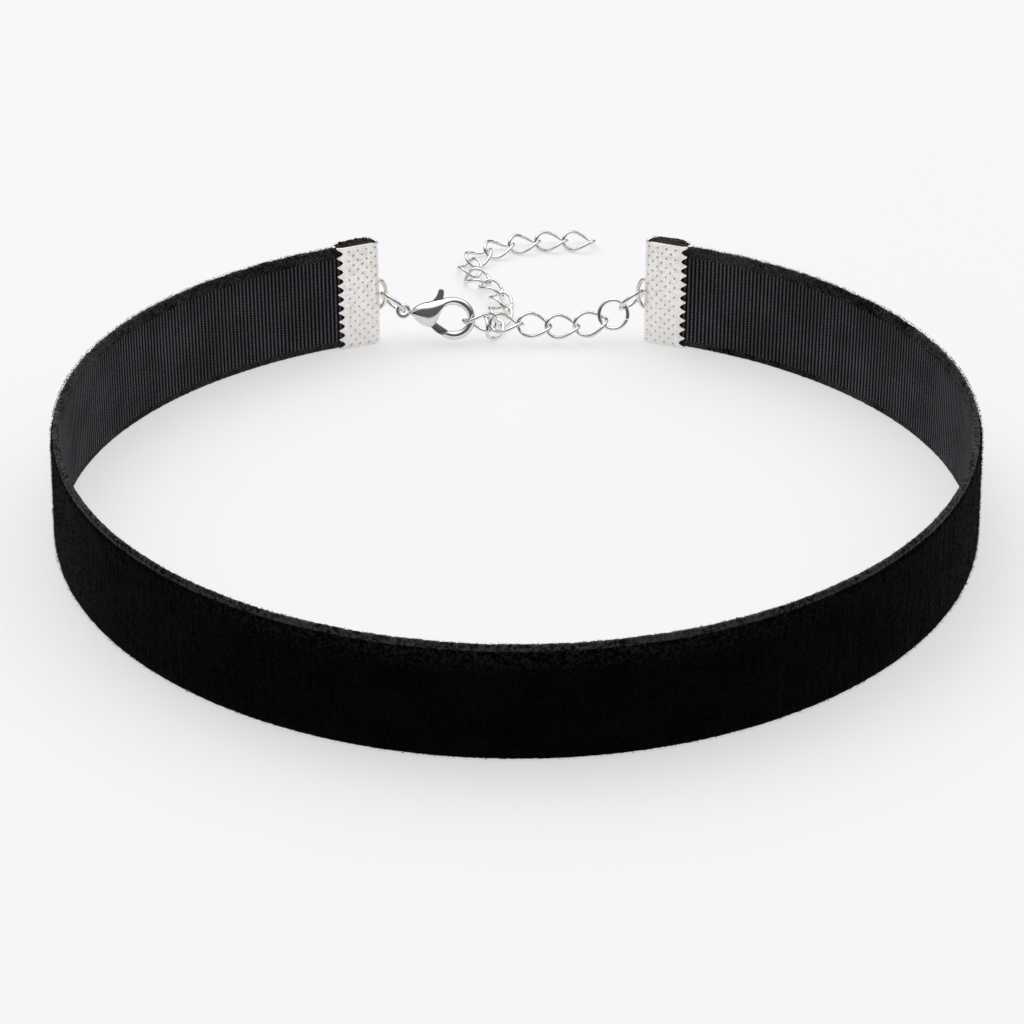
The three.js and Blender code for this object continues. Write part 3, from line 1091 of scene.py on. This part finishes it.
@dataclass
class LooseFibres:
    """Fine fibres that stand off the pile and the ribbon's two edges."""

    ribbon: VelvetRibbon
    edge_count: int = 12000
    pile_count: int = 36000
    edge_length: float = 0.26 * MM
    pile_length: float = 0.34 * MM
    root_radius: float = 0.034 * MM
    upper_share: float = 0.85
    stray: float = 0.55
    sides: int = 3
    seed: int = 23

    def build(self, finishes: Finishes) -> bpy.types.Object:
        """Makes all the fibres as one mesh of thin spikes.

        Args:
            finishes: the choker's materials.

        Returns:
            The fibres.
        """
        plan = self.ribbon.plan
        random = np.random.default_rng(self.seed)
        points, outward, along = plan.stations(0.2 * MM, 0.0)
        count = self.edge_count + self.pile_count
        place = random.uniform(0.2 * MM, plan.length - 0.2 * MM, count)
        root = np.stack([np.interp(place, along, points[:, i]) for i in range(2)], axis=1)
        out = np.stack([np.interp(place, along, outward[:, i]) for i in range(2)], axis=1)
        on_edge = np.arange(count) < self.edge_count
        upper = random.uniform(size=count) < self.upper_share
        half = plan.thickness / 2
        edge_height = np.where(upper, plan.height - 0.06 * MM, 0.16 * MM)
        pile_height = random.uniform(0.2 * MM, plan.height - 0.3 * MM, count)
        height = np.where(on_edge, edge_height, pile_height)
        offset = np.where(on_edge, random.uniform(-0.9, 0.9, count), 0.96) * half
        lean = self.ribbon.lean(outward, along)
        offset += np.interp(place, along, lean) * (0.5 - height / plan.height)
        base = np.column_stack([root + out * offset[:, None], height])
        stray = random.normal(0, self.stray, (count, 3))
        rise = np.where(on_edge, np.where(upper, 1.0, 0.25), -0.2)
        spread = np.where(on_edge, np.where(upper, 0.25, 1.0), 1.0)
        toward = np.column_stack([out * spread[:, None], rise]) + stray
        toward /= np.linalg.norm(toward, axis=1)[:, None]
        span = np.where(on_edge, self.edge_length, self.pile_length) * random.uniform(0.45, 1.25, count)
        tip = base + toward * span[:, None]
        tip[:, 2] = np.maximum(tip[:, 2], 0.03 * MM)
        side = np.cross(toward, random.normal(size=(count, 3)))
        side /= np.linalg.norm(side, axis=1)[:, None]
        up = np.cross(toward, side)
        angle = np.arange(self.sides) * 2 * math.pi / self.sides
        ring = side[:, None] * np.cos(angle)[None, :, None] + up[:, None] * np.sin(angle)[None, :, None]
        roots = base[:, None] + ring * self.root_radius
        spikes = np.concatenate([roots, tip[:, None]], axis=1).reshape(-1, 3)
        first = np.arange(count)[:, None] * (self.sides + 1)
        corners = [[i, (i + 1) % self.sides, self.sides] for i in range(self.sides)]
        faces = [(first + np.array(three)).tolist() for three in corners]
        faces.append((first + np.arange(self.sides)[::-1]).tolist())
        return make_object("ribbon_loose_fibres", spikes, sum(faces, []), [finishes.fibre])


# ---------------------------------------------------------------------------
# Crimp ends
# ---------------------------------------------------------------------------


@dataclass
class CrimpEnd:
    """A steel plate folded over the ribbon's turned-over end, with teeth, pits and a wire loop."""

    height: float = 16.2 * MM
    length: float = 6.4 * MM
    plate: float = 0.35 * MM
    half_thickness: float = 1.1 * MM
    notch_count: int = 11
    notch_pitch: float = 1.45 * MM
    notch_depth: float = 0.8 * MM
    notch_mouth: float = 0.44
    rows_per_notch: int = 12
    column_step: float = 0.1 * MM
    bite: float = 0.3 * MM
    bite_length: float = 1.2 * MM
    pit_columns: int = 7
    pit_column_pitch: float = 0.66 * MM
    pit_first: float = 1.7 * MM
    pit_pitch: float = 1.5 * MM
    pit_radius: float = 0.145 * MM
    pit_depth: float = 0.10 * MM
    corner: float = 0.28 * MM
    edge_round: float = 0.05 * MM
    loop_wire: float = 0.6 * MM
    loop_sides: int = 20
    loop_reach: float = 1.4 * MM
    loop_half_height: float = 2.6 * MM
    loop_z: float = 7.35 * MM

    PIT_MASK = "pit_depth"

    def _heights(self) -> np.ndarray:
        """Row heights that fall on each notch and each tooth tip.

        Returns:
            The heights from the lower edge up.
        """
        step = self.notch_pitch / self.rows_per_notch
        first = self.height / 2 - self.notch_pitch * self.notch_count / 2
        notched = first + step * np.arange(self.notch_count * self.rows_per_notch + 1)
        ends = np.linspace(0, first, 7)[:-1]
        return np.concatenate([ends, notched, self.height - ends[::-1]])

    def _tooth_edge(self, z: np.ndarray) -> np.ndarray:
        """How far the plate's edge is cut back at a height.

        Args:
            z: heights above the lower edge.

        Returns:
            A distance for each height.
        """
        first = self.height / 2 - self.notch_pitch * self.notch_count / 2
        phase = (z - first) / self.notch_pitch
        inside = (phase >= 0) & (phase <= self.notch_count)
        off = np.abs(phase - np.floor(phase) - 0.5) / self.notch_mouth
        rounded = np.clip(1 - off**1.7, 0, 1)
        return np.where(inside, self.notch_depth * rounded, 0.0)

    def _surface(self) -> tuple[np.ndarray, np.ndarray, np.ndarray]:
        """Outer surface of the folded plate, without its pits.

        Returns:
            Points and outward directions, a row for each height, and the distance of each
            column's point from the tooth tips, which is negative on the second face.
        """
        z = self._heights()
        edge = self._tooth_edge(z)
        outer = self.half_thickness
        fold = self.length - outer
        flat = np.linspace(0, 1, round(fold / self.column_step))
        turn = np.linspace(-math.pi / 2, math.pi / 2, 25)[1:-1]
        x_flat = edge[:, None] + (fold - edge[:, None]) * flat[None]
        bend = self.bite * np.clip(1 - x_flat / self.bite_length, 0, 1) ** 2
        y_flat = -(outer - bend)
        x_turn = np.broadcast_to(fold + outer * np.cos(turn), (len(z), len(turn)))
        y_turn = np.broadcast_to(outer * np.sin(turn), (len(z), len(turn)))
        x = np.concatenate([x_flat, x_turn, x_flat[:, ::-1]], axis=1)
        y = np.concatenate([y_flat, y_turn, -y_flat[:, ::-1]], axis=1)
        round_off = np.concatenate([np.zeros(len(flat)), np.cos(turn), np.zeros(len(flat))])
        shrink = 1 - 2 * self.corner * round_off / self.height
        height = (z[:, None] - self.height / 2) * shrink[None] + self.height / 2
        points = np.stack([x, y, height], axis=-1)
        normal_x = np.concatenate([np.zeros(len(flat)), np.cos(turn), np.zeros(len(flat))])
        normal_y = np.concatenate([-np.ones(len(flat)), np.sin(turn), np.ones(len(flat))])
        normals = np.zeros_like(points)
        normals[..., 0] = normal_x
        normals[..., 1] = normal_y
        return points, normals, np.abs(normal_y) > 0.85

    def _pits(self, points: np.ndarray, flat: np.ndarray) -> np.ndarray:
        """Depth of the pits at each point, as a share of the deepest.

        Args:
            points: the plate's outer surface.
            flat: which columns lie on the two flat faces.

        Returns:
            The share, from 0 to 1.
        """
        column = (points[..., 0] - self.pit_first) / self.pit_column_pitch
        nearest = np.clip(np.round(column), 0, self.pit_columns - 1)
        stagger = np.where(nearest % 2 == 0, 0.0, 0.5)
        row = (points[..., 2] - self.height / 2) / self.pit_pitch - stagger
        dx = (column - nearest) * self.pit_column_pitch
        dz = (row - np.round(row)) * self.pit_pitch
        clear = np.minimum(points[..., 2], self.height - points[..., 2]) > 0.4 * MM
        distance = np.hypot(dx, dz) / self.pit_radius
        return smoothstep(1.25 - distance) * clear * flat[None]

    def build(self, name: str, place: Matrix, finishes: Finishes) -> bpy.types.Object:
        """Makes a crimp end with its loop.

        Args:
            name: the piece's name.
            place: where its mouth is, with X towards its loop.
            finishes: the choker's materials.

        Returns:
            The crimp end.
        """
        points, normals, flat = self._surface()
        pits = self._pits(points, flat)
        outside = points - normals * (pits * self.pit_depth)[..., None]
        inside = points - normals * self.plate
        rows, columns = pits.shape
        shell = self._closed_shell(outside, inside, rows, columns)
        plate = make_object(name, *shell, [finishes.crimp])
        mask = plate.data.attributes.new(self.PIT_MASK, "FLOAT", "POINT")
        values = np.concatenate([pits.ravel(), np.zeros(rows * columns)])
        mask.data.foreach_set("value", values.astype(np.float32))
        round_edges(plate, self.edge_round, 2, 60)
        plate.data.shade_smooth()
        plate.data.set_sharp_from_angle(angle=math.radians(50))
        wire = swept_wire(self._loop_path(), self.loop_wire / 2, self.loop_sides)
        loop = make_object(name + "_loop", *wire, [finishes.crimp])
        joined = join_pieces(name, [plate, loop])
        joined.data.transform(place)
        return joined

    @staticmethod
    def _closed_shell(outside: np.ndarray, inside: np.ndarray, rows: int, columns: int) -> tuple:
        """Joins two sheets of points round their edges into a closed mesh.

        Args:
            outside: points of the outer sheet.
            inside: points of the inner sheet.
            rows: number of rows in each.
            columns: number of points in a row.

        Returns:
            Points and faces of the mesh.
        """
        sheet = grid_quads(rows, columns)
        count = rows * columns
        faces = [sheet, sheet[:, ::-1] + count]
        first, last = np.arange(columns), (rows - 1) * columns + np.arange(columns)
        left, right = np.arange(rows) * columns, np.arange(rows) * columns + columns - 1
        for rim in (first, last, left, right):
            a, b = rim[:-1], rim[1:]
            faces.append(np.stack([a, b, b + count, a + count], axis=1))
        points = np.concatenate([outside.reshape(-1, 3), inside.reshape(-1, 3)])
        return points, np.concatenate(faces).tolist()

    def _loop_path(self) -> np.ndarray:
        """Middle of the loop's wire, which starts and ends inside the fold.

        Returns:
            Points along the wire.
        """
        root = self.length - self.plate * 0.6
        reach = self.length + self.loop_reach - self.loop_wire / 2 - root
        half_height = self.loop_half_height - self.loop_wire / 2
        angle = np.linspace(-math.pi / 2, math.pi / 2, 41)
        z = self.loop_z + half_height * np.sin(angle)
        return np.stack([root + reach * np.cos(angle), np.zeros_like(angle), z], axis=1)


# ---------------------------------------------------------------------------
# Rings and links
# ---------------------------------------------------------------------------


def wire_place(solid: bpy.types.Object) -> Matrix:
    """Place of a ring or link, worked out from the spread of its frame solid's points.

    Args:
        solid: the ring's or link's object in the frame.

    Returns:
        A matrix whose X is the longest way of the piece, and whose Z is the thinnest.
    """
    points = np.array([vertex.co for vertex in solid.data.vertices])
    points = np.unique(np.round(points, 7), axis=0)
    centre = points.mean(axis=0)
    _, axes = np.linalg.eigh((points - centre).T @ (points - centre))
    x, y = Vector(axes[:, 2]), Vector(axes[:, 1])
    turn = Matrix((x, y, x.cross(y))).transposed().to_4x4()
    return Matrix.Translation(centre) @ turn


@dataclass
class JumpRing:
    """A round ring of wire whose two ends meet in a fine seam."""

    outer: float = 4.7 * MM
    wire: float = 0.55 * MM
    seam: float = 0.05 * MM
    seam_at: float = math.radians(65)
    steps: int = 96
    sides: int = 18

    def build(self, name: str, solid: bpy.types.Object, finishes: Finishes) -> bpy.types.Object:
        """Makes the ring where its frame solid is.

        Args:
            name: the piece's name.
            solid: the ring's object in the frame.
            finishes: the choker's materials.

        Returns:
            The ring.
        """
        radius = (self.outer - self.wire) / 2
        gap = self.seam / 2 / radius
        angle = self.seam_at + np.linspace(gap, 2 * math.pi - gap, self.steps)
        path = np.stack([radius * np.cos(angle), radius * np.sin(angle), np.zeros_like(angle)], axis=1)
        ring = make_object(name, *swept_wire(path, self.wire / 2, self.sides), [finishes.bright])
        ring.data.transform(wire_place(solid))
        ring.data.set_sharp_from_angle(angle=math.radians(50))
        return ring


@dataclass
class CurbLink:
    """An oval link of wire, its two ends turned against each other, with a seam in one long side."""

    length: float = 5.3 * MM
    width: float = 4.05 * MM
    wire: float = 0.52 * MM
    twist: float = math.radians(-90)
    seam: float = 0.04 * MM
    steps: int = 96
    sides: int = 18

    def build(self, name: str, solid: bpy.types.Object, finishes: Finishes) -> bpy.types.Object:
        """Makes the link where its frame solid is.

        Args:
            name: the piece's name.
            solid: the link's object in the frame.
            finishes: the choker's materials.

        Returns:
            The link.
        """
        half_length = (self.length - self.wire) / 2
        half_width = (self.width - self.wire) / 2
        gap = self.seam / 2 / half_length
        angle = math.pi / 2 + np.linspace(gap, 2 * math.pi - gap, self.steps)
        turn = self.twist * np.cos(angle) / 2
        y = half_width * np.sin(angle)
        path = np.stack([half_length * np.cos(angle), y * np.cos(turn), y * np.sin(turn)], axis=1)
        link = make_object(name, *swept_wire(path, self.wire / 2, self.sides), [finishes.bright])
        link.data.transform(wire_place(solid))
        link.data.set_sharp_from_angle(angle=math.radians(50))
        return link


# ---------------------------------------------------------------------------
# Lobster clasp
# ---------------------------------------------------------------------------


@dataclass
class LobsterClasp:
    """The clasp: a hook that grows out of a rounded body, a soldered eye, and a sprung lever.

    It is drawn in X and Z about the middle of its eye. The lever's hinge in the frame gives its place.
    """

    hinge: Sequence[float]
    lean: float = math.radians(20)
    droop: float = math.radians(8.5)
    pivot: tuple = (4.1 * MM, 0.1 * MM)
    pin_radius: float = 0.3 * MM
    hook_centre: tuple = (7.35 * MM, 0.0)
    hook_radius: float = 3.07 * MM
    throat_centre: tuple = (7.2 * MM, 0.05 * MM)
    throat: tuple = (2.1 * MM, 1.87 * MM)
    hook_start: float = math.radians(76)
    hook_end: float = math.radians(-116.3)
    throat_end: float = math.radians(-97.1)
    hook_half_width: float = 0.58 * MM
    eye_radius: float = 0.83 * MM
    eye_wire: float = 0.56 * MM
    slot_width: float = 1.1 * MM
    slot_x: tuple = (3.0 * MM, 5.65 * MM)
    lever_thickness: float = 0.8 * MM
    lever_reach: float = 3.3 * MM
    body_rounding: float = 0.07 * MM
    lever_rounding: float = 0.16 * MM
    eye_opening: float = 0.2
    hook_sections: int = 13
    throat_lag: float = 0.32
    shoulder_width: float = 1.06
    loft_rows: int = 170
    sides: int = 36

    # The body from its neck to the hook, in millimetres: its outer edge, its inner edge, half its width
    BODY_SECTIONS = (
        {"outer_x": 0.75, "outer_z": 0.24, "inner_x": 0.75, "inner_z": -0.24, "half_width": 0.24},
        {"outer_x": 1.04, "outer_z": 0.27, "inner_x": 1.04, "inner_z": -0.27, "half_width": 0.27},
        {"outer_x": 1.25, "outer_z": 0.56, "inner_x": 1.28, "inner_z": -0.50, "half_width": 0.52},
        {"outer_x": 1.85, "outer_z": 1.17, "inner_x": 1.95, "inner_z": -1.02, "half_width": 0.92},
        {"outer_x": 2.80, "outer_z": 1.74, "inner_x": 2.90, "inner_z": -1.56, "half_width": 1.22},
        {"outer_x": 3.90, "outer_z": 2.22, "inner_x": 4.02, "inner_z": -1.84, "half_width": 1.36},
        {"outer_x": 4.90, "outer_z": 2.62, "inner_x": 4.76, "inner_z": -1.30, "half_width": 1.30},
        {"outer_x": 5.70, "outer_z": 2.88, "inner_x": 5.12, "inner_z": -0.28, "half_width": 1.14},
        {"outer_x": 6.45, "outer_z": 3.04, "inner_x": 5.38, "inner_z": 0.86, "half_width": 0.92},
        {"outer_x": 7.20, "outer_z": 3.12, "inner_x": 6.10, "inner_z": 1.64, "half_width": 0.74},
    )

    def place(self) -> Matrix:
        """Where the clasp's eye is, worked out from its hinge.

        Returns:
            The place as a matrix.
        """
        turn = Matrix.Rotation(-self.lean, 4, "X") @ Matrix.Rotation(self.droop, 4, "Y")
        pivot = Vector((self.pivot[0], 0, self.pivot[1]))
        return Matrix.Translation(Vector(self.hinge) - turn.to_3x3() @ pivot) @ turn

    def _sections(self) -> np.ndarray:
        """Outer edge, inner edge and half width of the body and hook, a row for each section.

        Returns:
            The table, from the neck to the tip of the hook.
        """
        rows = [[value * MM for value in section.values()] for section in self.BODY_SECTIONS]
        count = self.hook_sections
        outer = arc(self.hook_centre, self.hook_radius, self.hook_start, self.hook_end, count)
        angle = np.linspace(self.hook_start + self.throat_lag, self.throat_end, count)
        inner_x = self.throat_centre[0] + self.throat[0] * np.cos(angle)
        inner_z = self.throat_centre[1] + self.throat[1] * np.sin(angle)
        width = np.full(count, self.hook_half_width)
        width[0] = self.hook_half_width * self.shoulder_width
        hook = np.column_stack([outer, inner_x, inner_z, width])
        return smooth_rows(np.vstack([rows, hook]), self.loft_rows)

    def _loft(self, name: str, finishes: Finishes) -> bpy.types.Object:
        """Body and hook as one closed form through the sections.

        Args:
            name: the object's name.
            finishes: the choker's materials.

        Returns:
            The uncut body.
        """
        table = self._sections()
        outer, inner, width = table[:, 0:2], table[:, 2:4], table[:, 4]
        middle, reach = (outer + inner) / 2, (outer - inner) / 2
        angle = np.arange(self.sides) * 2 * math.pi / self.sides
        in_plane = middle[:, None] + reach[:, None] * np.cos(angle)[None, :, None]
        sideways = width[:, None] * np.sin(angle)[None]
        points = np.stack([in_plane[..., 0], sideways, in_plane[..., 1]], axis=-1)
        faces = grid_quads(len(table), self.sides, wrap=True).tolist()
        last = (len(table) - 1) * self.sides
        faces += [list(range(self.sides)), [last + i for i in range(self.sides)]]
        return make_object(name, points.reshape(-1, 3), faces, [finishes.cast])

    def _cut(self, body: bpy.types.Object, tool: bpy.types.Object) -> None:
        """Cuts one mesh out of another and removes the cutter.

        Args:
            body: the mesh object that is cut.
            tool: the cutter.
        """
        cutting = body.modifiers.new("cut", "BOOLEAN")
        cutting.object = tool
        cutting.operation = "DIFFERENCE"
        cutting.solver = "EXACT"
        apply_modifiers(body)
        bpy.data.objects.remove(tool)

    def _slot(self, finishes: Finishes) -> bpy.types.Object:
        """Cutter of the slot that the lever works in.

        Args:
            finishes: the choker's materials.

        Returns:
            The cutter.
        """
        x0, x1 = self.slot_x
        y, z = self.slot_width / 2, 4 * MM
        corners = np.array([(a, b, c) for a in (x0, x1) for b in (-y, y) for c in (-z, z)])
        faces = [[0, 1, 3, 2], [4, 6, 7, 5], [0, 4, 5, 1], [2, 3, 7, 6], [0, 2, 6, 4], [1, 5, 7, 3]]
        return make_object("slot_cutter", corners, faces, [finishes.cast])

    def build_body(self, finishes: Finishes) -> bpy.types.Object:
        """Makes the hook, body, eye and pin.

        Args:
            finishes: the choker's materials.

        Returns:
            The clasp's body.
        """
        body = self._loft("clasp_hook", finishes)
        self._cut(body, self._slot(finishes))
        round_edges(body, self.body_rounding, 2, 50)
        angle = np.linspace(self.eye_opening, 2 * math.pi - self.eye_opening, 65)
        ring = self.eye_radius * np.stack([np.cos(angle), np.zeros_like(angle), np.sin(angle)], axis=1)
        eye = make_object("clasp_eye", *swept_wire(ring, self.eye_wire / 2, 18), [finishes.cast])
        half = self.slot_width / 2 + 0.4 * MM
        axle = np.array([(self.pivot[0], y, self.pivot[1]) for y in np.linspace(-half, half, 5)])
        pin = make_object("clasp_pin", *swept_wire(axle, self.pin_radius, 24), [finishes.cast])
        joined = join_pieces("lobster_clasp_body", [body, eye, pin])
        joined.data.transform(self.place())
        joined.data.shade_smooth()
        joined.data.set_sharp_from_angle(angle=math.radians(48))
        return joined

    def _lever_outline(self) -> np.ndarray:
        """Outline of the lever in millimetres, from behind the pivot round the thumb tab and the gate.

        Returns:
            Points of the closed outline.
        """
        pivot = np.array(self.pivot) / MM
        reach = self.lever_reach / MM
        parts = [
            bezier([(3.45, -0.35), (3.3, 1.2), (3.87, 2.1)], 10),
            bezier([(3.87, 2.1), (4.5, 2.8), (4.57, 3.9)], 8),
            bezier([(4.57, 3.9), (4.9, 4.15), (5.3, 3.9)], 6),
            bezier([(5.3, 3.9), (5.5, 3.3), (5.35, 2.5)], 8),
            bezier([(5.35, 2.5), (4.9, 1.0), (4.9, -0.9)], 10),
            bezier([(4.9, -0.9), (5.6, -1.28), (6.78, -1.8)], 8),
            arc(pivot, reach, -0.62, -0.95, 6),
            bezier([(6.0, -2.6), (5.1, -2.42), (4.35, -1.75)], 8),
            bezier([(4.35, -1.75), (3.6, -1.3), (3.45, -0.35)], 10),
        ]
        return np.vstack(parts)

    def build_lever(self, finishes: Finishes) -> bpy.types.Object:
        """Makes the lever with rounded edges.

        Args:
            finishes: the choker's materials.

        Returns:
            The lever.
        """
        outline = self._lever_outline() * MM
        count = len(outline)
        half = self.lever_thickness / 2
        sheets = [np.column_stack([outline[:, 0], np.full(count, y), outline[:, 1]]) for y in (-half, half)]
        faces = [list(range(count)), [count + i for i in range(count)]]
        faces += [[i, (i + 1) % count, count + (i + 1) % count, count + i] for i in range(count)]
        lever = make_object("lobster_clasp_lever", np.vstack(sheets), faces, [finishes.cast])
        round_edges(lever, self.lever_rounding, 4, 60)
        lever.data.transform(self.place())
        lever.data.shade_smooth()
        lever.data.set_sharp_from_angle(angle=math.radians(40))
        return lever


# ---------------------------------------------------------------------------
# Studio
# ---------------------------------------------------------------------------


@dataclass
class Studio:
    """A backlit white table in a grey room, with a bright ceiling and dim walls."""

    elevation: float = math.radians(32)
    distance: float = 418.4 * MM
    target: tuple = (-0.57 * MM, -11.46 * MM, 0.0)
    lens_mm: float = 111.5
    sensor_mm: float = 36.0
    floor_half: float = 0.45
    floor_color: tuple = (0.40, 0.402, 0.408, 1.0)
    floor_glow: tuple = (0.985, 0.985, 1.0, 1.0)
    glow_strength: float = 0.53
    ceiling: float = 1.5
    walls: float = 0.16
    dim_front: float = 0.12
    backdrop: tuple = (0.925, 0.928, 0.94, 1.0)
    ceiling_rise: tuple = (0.3, 0.75)
    front_fall: tuple = (-0.1, -0.4)
    overhead_fall: tuple = (0.9, 0.8)
    softbox_place: tuple = (-0.25, 0.25, 0.75)
    softbox_size: float = 0.5
    softbox_power: float = 1.0

    def build(self) -> None:
        """Makes the camera, the floor, the room's light and the softbox."""
        self._camera()
        self._floor()
        self._room()
        self._softbox()
        scene = bpy.context.scene
        scene.view_settings.view_transform = "Standard"
        scene.view_settings.look = "None"

    def _camera(self) -> None:
        """A level camera that looks down at the choker from its throat side."""
        camera = bpy.data.cameras.new("camera")
        camera.lens = self.lens_mm
        camera.sensor_width = self.sensor_mm
        camera.clip_start = 0.01
        holder = bpy.data.objects.new("camera", camera)
        back = Vector((0, -math.cos(self.elevation), math.sin(self.elevation)))
        holder.location = Vector(self.target) + back * self.distance
        holder.rotation_euler = (math.pi / 2 - self.elevation, 0, 0)
        bpy.context.scene.collection.objects.link(holder)
        bpy.context.scene.camera = holder

    def _floor(self) -> None:
        """A matt table top, lit a little from below."""
        shader = {"Roughness": 0.9, "Specular IOR Level": 0.15, "Emission Color": self.floor_glow}
        shader["Emission Strength"] = self.glow_strength
        material, graph, principled = new_material("studio_floor", shader)
        place = graph.node("ShaderNodeTexCoord").outputs["Object"]
        lighter = tuple(min(1.0, value * 1.01) for value in self.floor_color[:3]) + (1.0,)
        color = graph.mix(graph.noise(place, 40.0), self.floor_color, lighter)
        graph.tree.links.new(color, principled.inputs["Base Color"])
        half = self.floor_half
        corners = np.array([(-half, -half, 0), (half, -half, 0), (half, half, 0), (-half, half, 0)])
        mesh = bpy.data.meshes.new("studio_floor")
        mesh.from_pydata(corners.tolist(), [], [[0, 1, 2, 3]])
        mesh.materials.append(material)
        floor = bpy.data.objects.new("studio_floor", mesh)
        bpy.context.scene.collection.objects.link(floor)
        floor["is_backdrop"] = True

    def _room(self) -> None:
        """A bright ceiling over dim walls, dimmest in front, with a plain backdrop."""
        world = bpy.data.worlds.new("studio_room")
        bpy.context.scene.world = world
        world.use_nodes = True
        graph = Graph(world.node_tree)
        light = world.node_tree.nodes["Background"]
        way = graph.node("ShaderNodeTexCoord").outputs["Generated"]
        split = graph.node("ShaderNodeSeparateXYZ", {0: way})
        height = dict(enumerate((split.outputs[2], *self.ceiling_rise, self.walls, self.ceiling)))
        rise = graph.node("ShaderNodeMapRange", height, interpolation_type="SMOOTHSTEP").outputs[0]
        front = graph.limited(split.outputs[1], *self.front_fall)
        below = graph.limited(split.outputs[2], *self.overhead_fall)
        dim = graph.math("MULTIPLY", front, below)
        strength = graph.node("ShaderNodeMapRange", {0: dim, 3: rise, 4: self.dim_front}).outputs[0]
        seen = graph.node("ShaderNodeLightPath").outputs["Is Camera Ray"]
        color = graph.mix(seen, (1.0, 1.0, 1.0, 1.0), self.backdrop)
        plain = graph.node("ShaderNodeMapRange", {0: seen, 3: strength, 4: 1.0}).outputs[0]
        graph.tree.links.new(color, light.inputs["Color"])
        graph.tree.links.new(plain, light.inputs["Strength"])

    def _softbox(self) -> None:
        """A square soft light overhead that faces the choker."""
        light = bpy.data.lights.new("overhead_softbox", "AREA")
        light.shape = "SQUARE"
        light.size = self.softbox_size
        light.energy = self.softbox_power
        holder = bpy.data.objects.new("overhead_softbox", light)
        holder.location = self.softbox_place
        holder.rotation_euler = (-Vector(self.softbox_place)).to_track_quat("-Z", "Y").to_euler()
        bpy.context.scene.collection.objects.link(holder)


# ---------------------------------------------------------------------------
# Choker
# ---------------------------------------------------------------------------


def settle(piece: bpy.types.Object, body: str, node: str | None) -> None:
    """Gives a piece its body, hides the node that it stands for, and reports it.

    Args:
        piece: the finished piece.
        body: the frame body that it rides on.
        node: the node that it replaces, or None.
    """
    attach(piece, body)
    if node is not None:
        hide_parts(node)
    triangles = sum(len(polygon.vertices) - 2 for polygon in piece.data.polygons)
    log.info("%s: %d triangles, on %s", piece.name, triangles, body)


class Choker:
    """The whole choker."""

    RINGS = ("clasp_jump_ring", "chain_round_ring", "chain_jump_ring")

    def __init__(self, frame: dict) -> None:
        """Prepares the finishes and the ribbon's plan, for the given frame.

        Args:
            frame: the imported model's bodies, nodes and joints.
        """
        self.solids = frame["nodes"]
        self.hinge = frame["joints"][0]["pos_m"]
        self.finishes = Finishes()
        self.plan = RibbonPlan()

    def build_ribbon(self) -> None:
        """Makes the ribbon and its loose fibres."""
        ribbon = VelvetRibbon(self.plan)
        cloth = ribbon.build(self.finishes)
        fibres = LooseFibres(ribbon).build(self.finishes)
        settle(cloth, CHOKER_BODY, "velvet_ribbon")
        settle(fibres, CHOKER_BODY, None)

    def build_crimps(self) -> None:
        """Makes the two crimp ends."""
        for side in ("left", "right"):
            place = self.plan.mouth(side == "right")
            crimp = CrimpEnd().build(f"{side}_crimp", place, self.finishes)
            settle(crimp, CHOKER_BODY, f"{side}_crimp_end")

    def build_clasp(self) -> None:
        """Makes the lobster clasp."""
        clasp = LobsterClasp(self.hinge)
        settle(clasp.build_body(self.finishes), CHOKER_BODY, "clasp_body")
        settle(clasp.build_lever(self.finishes), LEVER_BODY, "clasp_lever")

    def build_chain(self) -> None:
        """Makes the jump rings and every link."""
        for node in self.RINGS:
            ring = JumpRing().build(node.replace("ring", "wire_ring"), self.solids[node], self.finishes)
            settle(ring, CHOKER_BODY, node)
        for node in sorted(name for name in self.solids if name.startswith("link_")):
            link = CurbLink().build(node.replace("link", "curb_link"), self.solids[node], self.finishes)
            settle(link, CHOKER_BODY, node)


def main(frame: dict, frame_box: list[list[float]]) -> None:
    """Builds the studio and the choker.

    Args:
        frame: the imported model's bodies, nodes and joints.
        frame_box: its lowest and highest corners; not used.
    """
    logging.basicConfig(level=logging.INFO, format="%(name)s: %(message)s")
    Studio().build()
    choker = Choker(frame)
    choker.build_ribbon()
    choker.build_crimps()
    choker.build_clasp()
    choker.build_chain()


if __name__ == "__main__":
    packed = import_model()
    main(packed, plain_list(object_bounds()))
